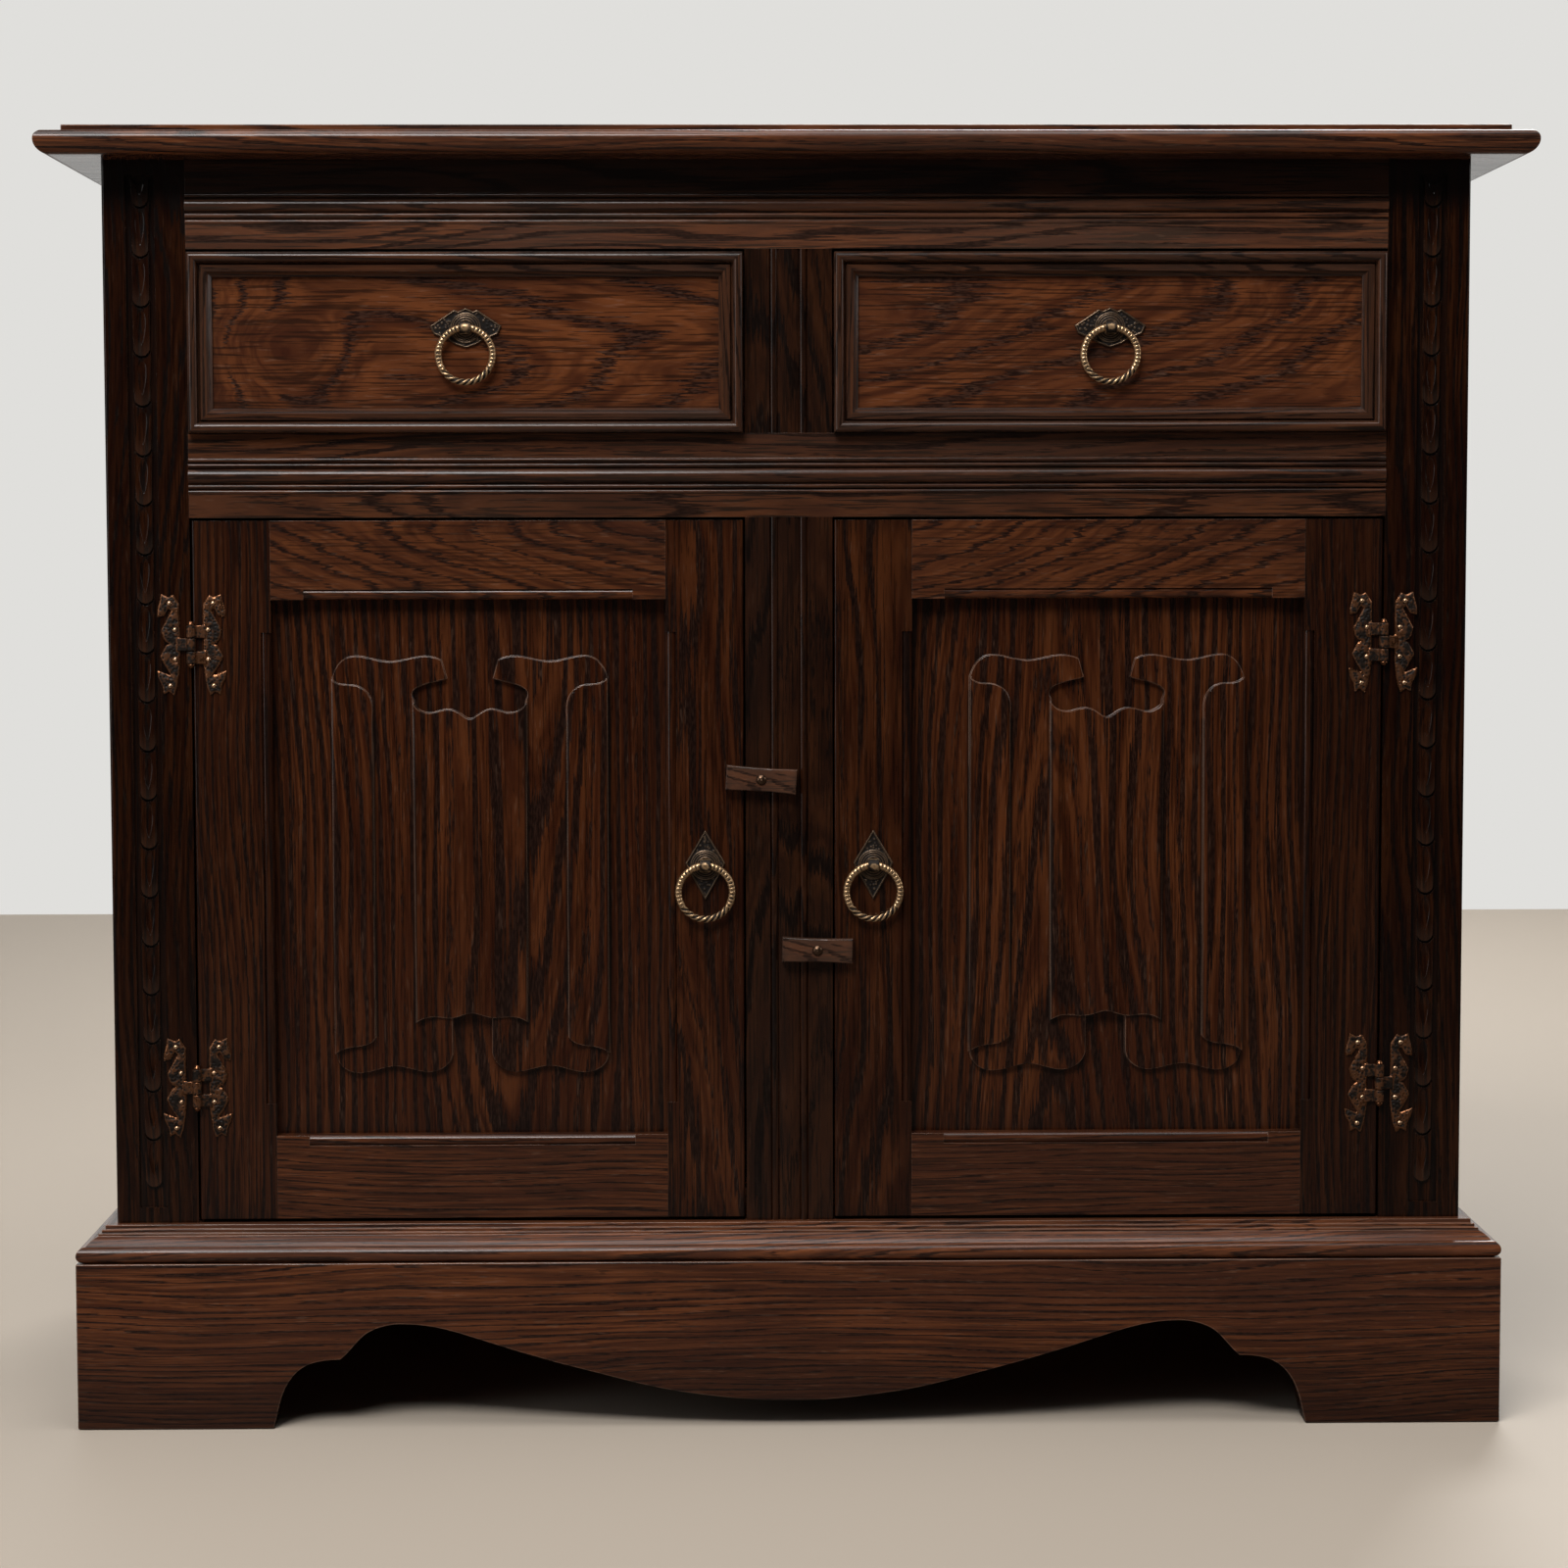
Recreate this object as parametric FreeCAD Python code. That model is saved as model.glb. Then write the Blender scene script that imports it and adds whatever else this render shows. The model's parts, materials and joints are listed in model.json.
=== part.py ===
import FreeCAD, Part
import math
import os

# A small oak court cupboard: two drawers over two linenfold doors, on an arched plinth.
# X is to the right, Y goes from front to back and Z is up, in millimetres.
# The origin is on the floor, in the middle of the top board's width and depth.

Vector = FreeCAD.Vector

# Top board
top_width = 945.0
top_depth = 450.0
top_overhang = 36.0
top_nose_height = 15.0
top_nose_round = 5.5
top_nose_under_round = 9.0
top_step_height = 4.5
top_step_setback = 15.0

# Plinth
plinth_projection = 23.0
plinth_board_height = 107.5
plinth_board_thickness = 22.0
plinth_moulding_height = 22.5
plinth_moulding_width = 62.0
arch_foot_width = 126.0
arch_height = 67.6
corner_block_size = 32.0
corner_block_height = 90.0

# Heights of the carcass's front, from the plinth up
door_opening_height = 456.0
middle_rail_height = 53.5
drawer_opening_height = 117.0
frieze_rail_height = 56.5

# Carcass framing
post_width = 53.0
post_depth = 40.0
post_edge_round = 2.0
muntin_width = 56.0
rail_thickness = 22.0
tenon_length = 24.0
tenon_thickness = 8.0
tenon_shoulder = 8.0
side_rail_thickness = 22.0
side_top_rail_height = 70.0
side_bottom_rail_height = 84.0
side_panel_thickness = 8.0
panel_groove_depth = 6.0
back_panel_thickness = 8.0
bottom_board_thickness = 18.0
dust_board_thickness = 7.0
shelf_thickness = 18.0
shelf_setback = 86.0
shelf_height_in_cupboard = 215.0
shelf_bearer_size = 20.0

# Reeded mouldings on the rails and muntins
thin_bead_height = 2.6
bead_height = 3.2
middle_torus_height = 9.0
frieze_ovolo_height = 8.0
bead_gap = 0.9
bead_gap_depth = 1.6
bead_proud = 1.0
torus_proud = 3.0
frieze_moulding_below = 15.5
middle_moulding_below = 15.0
muntin_reed_half = 6.5
muntin_bead_width = 4.0

# Gouged leaf chain on the front posts
channel_from_edge = 15.0
channel_width = 18.5
channel_depth = 2.6
channel_end_margin = 10.0
leaf_pitch = 31.5
first_leaf_tip_down = 19.5
leaf_width = 11.5
leaf_gap = 1.6
leaf_tip_sag = 4.5
leaf_waist_share = 0.87
leaf_sunk = 0.5

# Doors
door_thickness = 21.0
door_side_gap = 1.2
door_bottom_gap = 2.5
door_top_gap = 2.0
door_stile_width = 50.0
door_top_rail_height = 50.5
door_bottom_rail_height = 54.0
door_edge_round = 1.6
door_bead_height = 6.5
door_bead_depth = 5.5
door_bead_quirk = 2.0
door_bead_crown_share = 0.62
door_bead_crown_depth_share = 0.3
door_bead_stop = 21.0
panel_thickness = 9.0
panel_ground_recess = 11.0
fold_side_margin = 37.65
fold_top_margin = 36.7
fold_bottom_margin = 39.7
fold_low_relief = 3.6
fold_high_relief = 7.6
stop_gap = 0.4

# Drawers
drawer_side_gap = 1.0
drawer_bottom_gap = 0.4
drawer_top_gap = 2.2
drawer_front_thickness = 20.0
drawer_rear_room = 31.0
drawer_side_thickness = 10.0
drawer_side_height = 98.0
drawer_side_lap = 8.0
drawer_back_thickness = 10.0
drawer_floor_thickness = 6.0
drawer_floor_up = 8.0
drawer_groove_depth = 5.0
drawer_moulding_width = 15.5
drawer_moulding_proud = 8.5

# Wooden runners that carry the drawers, and kickers that keep them from tipping
runner_width = 32.0
runner_height = 22.0
guide_height = 34.0
guide_gap = 0.6
kicker_height = 16.0
kicker_gap = 1.0

# Hinges
hinge_reach = 22.5
hinge_half_height = 32.6
hinge_leaf_thickness = 1.6
hinge_barrel_radius = 3.0
hinge_barrel_section = 8.0
hinge_barrel_gap = 0.3
hinge_pin_radius = 1.3
hinge_pin_clearance = 0.06
hinge_pin_head_radius = 2.6
hinge_pin_head_height = 2.4
hinge_face_gap = 0.35
hinge_tongue_thickness = 1.9
upper_hinge_down = 79.0
lower_hinge_up = 86.0
nail_head_radius = 1.7
nail_head_height = 1.1
nail_shank_radius = 0.8
nail_length = 9.0

# Ring pulls
ring_radius = 17.3
ring_tube_radius = 2.2
ring_hole_clearance = 0.12
pull_plate_thickness = 1.4
pull_boss_radius = 8.6
pull_boss_height = 0.9
pull_boss_inner_radius = 5.6
drawer_plate_half_width = 22.8
drawer_plate_half_height = 12.7
door_plate_half_width = 12.8
door_plate_half_height = 22.7
eye_width = 7.0
eye_radius = 4.2
stud_radius = 2.4
stud_length = 13.0
ring_plate_gap = 0.9
drawer_pull_up = 66.5
door_pull_in = 25.0
door_pull_up = 229.5

# Turn buttons
button_length = 45.5
button_width = 16.0
button_waist = 14.8
button_thickness = 7.0
button_edge_round = 0.9
button_gap = 0.5
button_off_centre = 18.0
upper_button_up = 287.5
lower_button_up = 177.0
upper_button_tilt = 4.0
lower_button_tilt = 1.5
screw_head_radius = 3.4
screw_head_height = 1.8
screw_shank_radius = 2.0
screw_clearance = 0.08
screw_length = 17.0

# One overrun for every cut
over = 5.0

# Derived places
base = plinth_board_height + plinth_moulding_height
door_top = base + door_opening_height
drawer_floor_level = door_top + middle_rail_height
frieze_level = drawer_floor_level + drawer_opening_height
carcass_top = frieze_level + frieze_rail_height
half_width = top_width / 2 - top_overhang
face = -top_depth / 2 + top_overhang
back = top_depth / 2
opening_half = half_width - post_width
muntin_half = muntin_width / 2
plinth_half = half_width + plinth_projection
plinth_face = face - plinth_projection
back_inner = back - back_panel_thickness


def box(x, y, z):
    """A board between two values on each axis."""
    size = [max(pair) - min(pair) for pair in (x, y, z)]
    return Part.makeBox(size[0], size[1], size[2], Vector(min(x), min(y), min(z)))


def rod(start, direction, radius, length):
    return Part.makeCylinder(radius, length, start, direction)


def joined(pieces):
    """Several touching or crossing pieces as one solid."""
    shape = pieces[0]
    for piece in pieces[1:]:
        shape = shape.fuse(piece)
    return shape.removeSplitter()


def cut_by(host, pieces):
    for piece in pieces:
        host = host.cut(piece)
    return host


def mirrored(shape):
    """The same piece for the other side of the cupboard."""
    return shape.mirror(Vector(0, 0, 0), Vector(1, 0, 0))


def from_front(y):
    return lambda x, z: Vector(x, y, z)


def from_side(x):
    return lambda y, z: Vector(x, y, z)


def from_above(z):
    return lambda x, y: Vector(x, y, z)


def outline(start, moves, place):
    """A face with an edge of lines (one point), arcs (two points) and smooth curves (more)."""
    edges = []
    here = start
    for move in moves:
        points = [place(*here)] + [place(*point) for point in move]
        here = move[-1]
        if len(move) == 1:
            edges.append(Part.LineSegment(points[0], points[1]).toShape())
        elif len(move) == 2:
            edges.append(Part.Arc(points[0], points[1], points[2]).toShape())
        else:
            curve = Part.BSplineCurve()
            curve.interpolate(points)
            edges.append(curve.toShape())
    return Part.Face(Part.Wire(edges))


def scaled(shares, across, up, centre):
    """Points given as shares of two named sizes, about a centre."""
    return [(centre[0] + a * across, centre[1] + b * up) for a, b in shares]


def polygon(points, place):
    corners = [place(*point) for point in points]
    return Part.Face(Part.makePolygon(corners + corners[:1]))


def rounded(shape, radius, chosen):
    """Round the edges whose middle the given test accepts."""
    edges = [edge for edge in shape.Edges if chosen(edge.BoundBox.Center, edge)]
    return shape.makeFillet(radius, edges) if edges else shape


def upright(edge):
    return edge.BoundBox.ZLength > edge.BoundBox.XLength + edge.BoundBox.YLength


# Top board: a moulded nose along the front and both ends, and a low raised field
def top_section(tip, inward, middle, place, length):
    """Half of the board's section, from the tip of its nose to the middle."""
    low = carcass_top
    high = low + top_nose_height
    diagonal = 1 - math.sqrt(0.5)
    nose_start = (tip + inward * top_nose_under_round, low)
    moves = [
        [(middle, low)],
        [(middle, high + top_step_height)],
        [(tip + inward * top_step_setback, high + top_step_height)],
        [(tip + inward * top_step_setback, high)],
        [(tip + inward * top_nose_round, high)],
        [(tip + inward * top_nose_round * diagonal, high - top_nose_round * diagonal),
         (tip, high - top_nose_round)],
        [(tip + inward * top_nose_under_round * diagonal,
          low + (top_nose_height - top_nose_round) * diagonal), nose_start],
    ]
    return outline(nose_start, moves, place).extrude(length)


def top_board():
    half = top_width / 2
    along = top_section(-top_depth / 2, 1, back, from_side(-half), Vector(top_width, 0, 0))
    left = top_section(-half, 1, 0, from_front(-back), Vector(0, top_depth, 0))
    return along.common(joined([left, mirrored(left)]))


# Reeded rails: a plain board with a band of beads run along its front
def bead_moves(level, heights):
    """Beads one above another, each with its own proud height, with a groove between them."""
    moves = []
    for index, (height, proud) in enumerate(heights):
        if index:
            moves.append([(face + bead_gap_depth, level)])
            moves.append([(face + bead_gap_depth, level + bead_gap)])
            moves.append([(face, level + bead_gap)])
            level += bead_gap
        moves.append([(face - proud, level + height / 2), (face, level + height)])
        level += height
    return moves


def reeded_rail(low, height, below, heights):
    start = (face, low)
    moves = [[(face, low + below)]] + bead_moves(low + below, heights)
    moves += [[(face, low + height)], [(face + rail_thickness, low + height)],
              [(face + rail_thickness, low)], [start]]
    section = outline(start, moves, from_side(-opening_half))
    rail = section.extrude(Vector(2 * opening_half, 0, 0))
    tenon_half = opening_half + tenon_length
    tenon_front = face + (rail_thickness - tenon_thickness) / 2
    tenon = box((-tenon_half, tenon_half), (tenon_front, tenon_front + tenon_thickness),
                (low + tenon_shoulder, low + height - tenon_shoulder))
    return joined([rail, tenon])


def frieze_rail():
    heights = [(bead_height, bead_proud), (bead_height, bead_proud),
               (frieze_ovolo_height, torus_proud), (thin_bead_height, bead_proud)]
    return reeded_rail(frieze_level, frieze_rail_height, frieze_moulding_below, heights)


def middle_rail():
    thin = (thin_bead_height, bead_proud)
    heights = [thin, thin, (middle_torus_height, torus_proud), thin, thin]
    return reeded_rail(door_top, middle_rail_height, middle_moulding_below, heights)


def muntin(low, high):
    """An upright between the drawers or the doors, with a broad reed between two beads."""
    bead_outer = muntin_reed_half + bead_gap + muntin_bead_width
    deep = face + bead_gap_depth
    right = [
        [(bead_outer + bead_gap, face)],
        [(bead_outer + bead_gap / 2, deep), (bead_outer, face + bead_gap)],
        [(bead_outer - muntin_bead_width / 2, face), (muntin_reed_half + bead_gap, face + bead_gap)],
        [(muntin_reed_half + bead_gap / 2, deep)],
        [(muntin_reed_half, face + bead_gap)],
    ]
    start = (muntin_half, face)
    moves = list(right)
    moves.append([(0, face), (-muntin_reed_half, face + bead_gap)])
    moves.append([(-muntin_reed_half - bead_gap / 2, deep)])
    moves.append([(-muntin_reed_half - bead_gap, face + bead_gap)])
    moves.append([(-bead_outer + muntin_bead_width / 2, face), (-bead_outer, face + bead_gap)])
    moves.append([(-bead_outer - bead_gap / 2, deep), (-bead_outer - bead_gap, face)])
    moves += [[(-muntin_half, face)], [(-muntin_half, face + rail_thickness)],
              [(muntin_half, face + rail_thickness)], [start]]
    body = outline(start, moves, from_above(low)).extrude(Vector(0, 0, high - low))
    tenon_front = face + (rail_thickness - tenon_thickness) / 2
    stub = tenon_shoulder / 2
    tenon = box((-muntin_half + tenon_shoulder, muntin_half - tenon_shoulder),
                (tenon_front, tenon_front + tenon_thickness), (low - stub, high + stub))
    return joined([body, tenon])


# Posts
def leaf_pad(x, top, tip):
    """One leaf of the chain: a slightly tapered tongue with a rounded tip at its foot."""
    half = leaf_width / 2
    waist = half * leaf_waist_share
    shoulder = tip + leaf_tip_sag
    moves = [
        [(x + waist, shoulder)],
        [(x, tip), (x - waist, shoulder)],
        [(x - half, top)],
        [(x, top - leaf_tip_sag), (x + half, top)],
    ]
    return outline((x + half, top), moves, from_front(face + leaf_sunk)).extrude(Vector(0, channel_depth, 0))


def front_post():
    """The left front post, with a sunk channel and the leaves left standing in it."""
    low = base + channel_end_margin
    high = carcass_top - channel_end_margin
    near = -half_width + channel_from_edge
    post = box((-half_width, -opening_half), (face, face + post_depth), (base, carcass_top))
    post = rounded(post, post_edge_round,
                   lambda middle, edge: upright(edge) and middle.y < face + post_edge_round
                   and middle.x < -half_width + post_edge_round)
    post = post.cut(box((near, near + channel_width), (face - over, face + channel_depth), (low, high)))
    first_tip = high - first_leaf_tip_down
    count = 1 + int((first_tip - low) // leaf_pitch)
    tips = [first_tip - index * leaf_pitch for index in range(count)]
    tops = [high - leaf_gap] + [tip + leaf_tip_sag - leaf_gap for tip in tips[:-1]]
    leaves = [leaf_pad(near + channel_width / 2, top, tip) for top, tip in zip(tops, tips)]
    return post.fuse(leaves)


def rear_post():
    return box((-half_width, -half_width + post_width), (back - post_depth, back), (base, carcass_top))


# Sides
def side_span():
    return (face + post_depth, back - post_depth)


def side_rail(low, height):
    near, far = side_span()
    rail = box((-half_width, -half_width + side_rail_thickness), (near, far), (low, low + height))
    tenon_x = -half_width + (side_rail_thickness - tenon_thickness) / 2
    tenon = box((tenon_x, tenon_x + tenon_thickness), (near - tenon_length, far + tenon_length),
                (low + tenon_shoulder, low + height - tenon_shoulder))
    return joined([rail, tenon])


def side_panel():
    near, far = side_span()
    x = -half_width + (side_rail_thickness - side_panel_thickness) / 2
    return box((x, x + side_panel_thickness), (near - panel_groove_depth, far + panel_groove_depth),
               (base + side_bottom_rail_height - panel_groove_depth,
                carcass_top - side_top_rail_height + panel_groove_depth))


# Boards inside and behind
def inner_half():
    """Half the width between the side rails."""
    return half_width - side_rail_thickness


def back_panel():
    half = half_width - post_width + panel_groove_depth
    return box((-half, half), (back_inner, back), (base, carcass_top))


def bottom_board():
    half = inner_half()
    board = box((-half, half), (face + door_thickness + stop_gap, back_inner),
                (base, base + bottom_board_thickness))
    notch = box((opening_half, half + over), (face - over, face + post_depth), (base - over, door_top))
    rear = box((opening_half, half + over), (back - post_depth, back + over), (base - over, door_top))
    foot = muntin_notch(base - over, base + bottom_board_thickness + over)
    return cut_by(board, [notch, mirrored(notch), rear, mirrored(rear), foot])


def muntin_notch(low, high):
    return box((-muntin_half, muntin_half), (face - over, face + rail_thickness), (low, high))


def dust_board():
    half = opening_half
    top = drawer_floor_level - runner_height
    board = box((-half, half), (face + rail_thickness, back_inner), (top - dust_board_thickness, top))
    return board


def shelf_level():
    return base + shelf_height_in_cupboard


def shelf():
    half = half_width - side_rail_thickness / 2 - side_panel_thickness / 2
    front = face + shelf_setback
    board = box((-half, half), (front, back_inner), (shelf_level(), shelf_level() + shelf_thickness))
    corner = box((opening_half, half + over), (back - post_depth, back + over),
                 (shelf_level() - over, shelf_level() + shelf_thickness + over))
    return cut_by(board, [corner, mirrored(corner)])


def shelf_bearers():
    """A batten under each end of the shelf, fixed to the side panel."""
    outer = half_width - side_rail_thickness / 2 - side_panel_thickness / 2
    front = face + shelf_setback
    bearer = box((-outer, -outer + shelf_bearer_size), (front, back - post_depth),
                 (shelf_level() - shelf_bearer_size, shelf_level()))
    return [bearer, mirrored(bearer)]


# Runners and kickers
def drawer_edges():
    """The inner and outer X of the right drawer."""
    return muntin_half + drawer_side_gap, opening_half - drawer_side_gap


def drawer_bottom_level():
    return drawer_floor_level + drawer_bottom_gap


def drawer_runners():
    """Two outer runners with guides, and one in the middle between the drawers."""
    inner, outer = drawer_edges()
    low = drawer_floor_level - runner_height
    near = face + rail_thickness
    post_back = face + post_depth
    side = half_width - side_rail_thickness / 2 - side_panel_thickness / 2
    height = (low, drawer_floor_level)
    tread = box((outer - drawer_side_thickness, opening_half), (near, back_inner), height)
    packing = box((opening_half, side), (post_back, back - post_depth), height)
    guide = box((outer + guide_gap, side), (post_back, back - post_depth),
                (drawer_floor_level, drawer_floor_level + guide_height))
    right = joined([tread, packing, guide])
    middle_half = inner + drawer_side_thickness
    middle_tread = box((-middle_half, middle_half), (near, back_inner), height)
    middle_guide = box((-inner + guide_gap, inner - guide_gap), (near, back_inner),
                       (drawer_floor_level, drawer_floor_level + guide_height))
    return [mirrored(right), right, joined([middle_tread, middle_guide])]


def drawer_kickers():
    """Battens just above the drawer sides, which also take the top board's screws."""
    inner, outer = drawer_edges()
    low = drawer_bottom_level() + drawer_side_height + kicker_gap
    near = face + rail_thickness
    side = half_width - side_rail_thickness
    outer_strip = box((outer - runner_width, opening_half), (near, back_inner), (low, low + kicker_height))
    outer_packing = box((opening_half, side), (face + post_depth, back - post_depth),
                        (low, low + kicker_height))
    right = joined([outer_strip, outer_packing])
    middle_half = inner + runner_width / 2
    middle = box((-middle_half, middle_half), (near, back_inner), (low, low + kicker_height))
    return [mirrored(right), right, middle]


# Plinth
arch_foot_shares = [(0.009, 0.19), (0.027, 0.43), (0.060, 0.595), (0.096, 0.65), (0.129, 0.66)]
arch_crown_shares = [(0.147, 0.745), (0.177, 0.90), (0.207, 0.972), (0.252, 1.0)]
arch_ogee_shares = [(0.300, 0.981), (0.423, 0.81), (0.537, 0.637), (0.651, 0.485),
                    (0.768, 0.350), (0.846, 0.293), (0.924, 0.254)]
arch_drop_share = 0.245


def arch_points(shares):
    """Points on the left half of the arch, as shares of its half width and its height."""
    half = plinth_half - arch_foot_width
    return [(share * half - half, height * arch_height) for share, height in shares]


def plinth_front():
    """The front board with its double ogee arch, and a pointed drop at each foot."""
    foot = arch_points(arch_foot_shares)
    crown = arch_points(arch_crown_shares)
    ogee = arch_points(arch_ogee_shares)
    middle_height = arch_height * arch_drop_share
    start = (-plinth_half, 0)
    left_foot = (-plinth_half + arch_foot_width, 0)
    flip = lambda points: [(-x, z) for x, z in reversed(points)]
    run = ogee + [(0, middle_height)] + flip(ogee)
    moves = [
        [left_foot],
        foot,
        crown,
        run + [(-crown[-1][0], crown[-1][1])],
        flip([foot[-1]] + crown[:-1]),
        flip([left_foot] + foot[:-1]),
        [(plinth_half, 0)],
        [(plinth_half, plinth_board_height)],
        [(-plinth_half, plinth_board_height)],
        [start],
    ]
    board = outline(start, moves, from_front(plinth_face)).extrude(Vector(0, plinth_board_thickness, 0))
    return cut_by(board, mitres(0, plinth_board_height))


def mitres(low, high):
    """Wedges that cut a front piece of the plinth at 45 degrees at both ends."""
    reach = top_overhang + plinth_moulding_width
    corner = (-plinth_half, plinth_face)
    points = [(corner[0] - over, corner[1] - over), (corner[0] + reach, corner[1] + reach),
              (corner[0] - over, corner[1] + reach)]
    wedge = polygon(points, from_above(low - over)).extrude(Vector(0, 0, high - low + 2 * over))
    return [wedge, mirrored(wedge)]


def plinth_side():
    board = box((-plinth_half, -plinth_half + plinth_board_thickness), (plinth_face, back),
                (0, plinth_board_height))
    return cut_by(board, front_of_mitre(0, plinth_board_height))


def front_of_mitre(low, high):
    """The wedge that a side piece gives up to the front piece at the mitre."""
    reach = top_overhang + plinth_moulding_width
    corner = (-plinth_half, plinth_face)
    points = [(corner[0] - over, corner[1] - over), (corner[0] + reach, corner[1] + reach),
              (corner[0] + reach, corner[1] - over)]
    return [polygon(points, from_above(low - over)).extrude(Vector(0, 0, high - low + 2 * over))]


def plinth_back():
    """The plain back board, which is as high as the cap so that it carries the carcass."""
    inner = plinth_half - plinth_board_thickness
    lower = box((-inner, inner), (back - plinth_board_thickness, back), (0, plinth_board_height))
    inner = plinth_half - plinth_moulding_width
    upper = box((-inner, inner), (back - plinth_board_thickness, back), (plinth_board_height, base))
    return joined([lower, upper])


moulding_torus_share = 0.46
moulding_cove_shares = [(0.24, 0.47), (0.32, 0.56), (0.54, 0.71)]
moulding_step_shares = [(0.54, 0.78), (0.63, 0.78), (0.63, 0.88), (0.72, 0.88), (0.72, 1.0)]


def moulding_section(tip, inward, place, length):
    """The plinth's cap: a torus, a cove and small steps up to the carcass."""
    low = plinth_board_height
    torus = plinth_moulding_height * moulding_torus_share
    radius = torus / 2
    at = lambda out, up: (tip + inward * out * plinth_projection, low + up * plinth_moulding_height)
    cove = [at(*share) for share in moulding_cove_shares]
    steps = [at(*share) for share in moulding_step_shares]
    start = (tip + inward * radius, low)
    moves = [
        [(tip, low + radius), (tip + inward * radius, low + torus)],
        [cove[0]],
        [cove[1], cove[2]],
    ]
    moves += [[point] for point in steps]
    moves += [[(tip + inward * plinth_moulding_width, low + plinth_moulding_height)],
              [(tip + inward * plinth_moulding_width, low)], [start]]
    return outline(start, moves, place).extrude(length)


def plinth_moulding_front():
    strip = moulding_section(plinth_face, 1, from_side(-plinth_half), Vector(2 * plinth_half, 0, 0))
    return cut_by(strip, mitres(plinth_board_height, base))


def plinth_moulding_side():
    run = back - plinth_face
    strip = moulding_section(-plinth_half, 1, from_front(plinth_face), Vector(0, run, 0))
    return cut_by(strip, front_of_mitre(plinth_board_height, base))


def corner_blocks():
    """Glue blocks inside the plinth's corners."""
    x = -plinth_half + plinth_board_thickness
    z = (plinth_board_height - corner_block_height, plinth_board_height)
    near = plinth_face + plinth_board_thickness
    far = back - plinth_board_thickness
    front = box((x, x + corner_block_size), (near, near + corner_block_size), z)
    rear = box((x, x + corner_block_size), (far - corner_block_size, far), z)
    return [front, mirrored(front), rear, mirrored(rear)]


# Doors, modelled on the left
door_hinge_x = -opening_half + door_side_gap
door_lock_x = -muntin_half - door_side_gap
door_low = base + door_bottom_gap
door_high = door_top - door_top_gap
panel_left = door_hinge_x + door_stile_width
panel_right = door_lock_x - door_stile_width
panel_low = door_low + door_bottom_rail_height
panel_high = door_high - door_top_rail_height
panel_middle_x = (panel_left + panel_right) / 2
fold_half_width = (panel_right - panel_left) / 2 - fold_side_margin
fold_top = panel_high - fold_top_margin
fold_bottom = panel_low + fold_bottom_margin
fold_half_height = (fold_top - fold_bottom) / 2
fold_middle_z = (fold_top + fold_bottom) / 2


def bead_waste(edge, into, place, run):
    """What is cut away to leave a quirk and a bead along an inner edge of the door's frame."""
    quirk = edge + into * door_bead_height
    crown = (face + door_bead_quirk * door_bead_crown_depth_share,
             edge + into * door_bead_height * door_bead_crown_share)
    start = (face - over, quirk)
    moves = [
        [(face + door_bead_quirk, quirk)],
        [crown, (face + door_bead_depth, edge)],
        [(face + door_bead_depth, edge - into * over)],
        [(face - over, edge - into * over)],
        [start],
    ]
    return outline(start, moves, place).extrude(run)


def door_stiles():
    """The two uprights of the frame, with their outer edge eased and a bead beside the panel."""
    depth = (face, face + door_thickness)
    low = panel_low + door_bead_stop
    run = Vector(0, 0, panel_high - door_bead_stop - low)
    stiles = []
    for outer, inner in ((door_hinge_x, panel_left), (door_lock_x, panel_right)):
        stile = box((outer, inner), depth, (door_low, door_high))
        stile = rounded(stile, door_edge_round,
                        lambda middle, edge, outer=outer: upright(edge) and middle.y < face + over
                        and abs(middle.x - outer) < door_edge_round)
        into = 1 if outer > inner else -1
        stiles.append(stile.cut(bead_waste(inner, into, lambda y, x: Vector(x, y, low), run)))
    return stiles


def door_rail(low, high, inner_edge):
    """A rail with tenons, and a stopped bead along the edge beside the panel."""
    rail = box((panel_left, panel_right), (face, face + door_thickness), (low, high))
    into = -1 if inner_edge == high else 1
    run = Vector(panel_right - panel_left - 2 * door_bead_stop, 0, 0)
    rail = rail.cut(bead_waste(inner_edge, into, from_side(panel_left + door_bead_stop), run))
    tenon_front = face + panel_ground_recess
    shoulder = tenon_shoulder
    tenon = box((panel_left - tenon_length, panel_right + tenon_length),
                (tenon_front, tenon_front + tenon_thickness), (low + shoulder, high - shoulder))
    return joined([rail, tenon])


# Linenfold: the folds that stand highest, and the T-shaped folds under them
fold_ridge_shares = [(0.0, 1.0), (0.12, 0.78), (0.28, 0.76), (0.385, 0.96), (0.45, 0.45)]
fold_strip_shares = [(0.66, 0.45), (0.735, 0.96), (0.85, 0.76), (0.967, 0.96), (1.04, 0.45)]
centre_top_shares = [(0.363, 0.743), (0.290, 0.730), (0.160, 0.747), (0.073, 0.728), (0.0, 0.702)]
centre_bottom_shares = [(0.276, -0.728), (0.130, -0.732), (0.0, -0.709)]
strip_top_shares = [(0.930, 0.868), (0.814, 0.860), (0.741, 0.829), (0.712, 0.792)]
strip_bottom_shares = [(0.785, -0.863), (0.916, -0.877), (1.0, -0.905)]
tee_top_shares = [(0.86, 1.0), (0.588, 0.975), (0.320, 1.0), (0.206, 0.982)]
tee_inner_shares = [(0.168, 0.897), (0.349, 0.863), (0.416, 0.829), (0.405, 0.790)]
tee_bottom_shares = [(0.960, -0.962), (0.857, -0.998), (0.567, -0.967), (0.276, -0.993), (0.189, -0.962)]
centre_corner_shares = [(0.413, 0.782), (0.405, -0.752)]
strip_corner_shares = [(1.0, 0.897), (0.704, 0.72), (0.704, -0.828)]
tee_start_share = (0.97, 0.80)
tee_wing_share = (0.995, 0.905)
tee_corner_shares = [(0.375, 0.66), (0.375, -0.66), (0.145, -0.66), (0.145, -0.905)]
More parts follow.
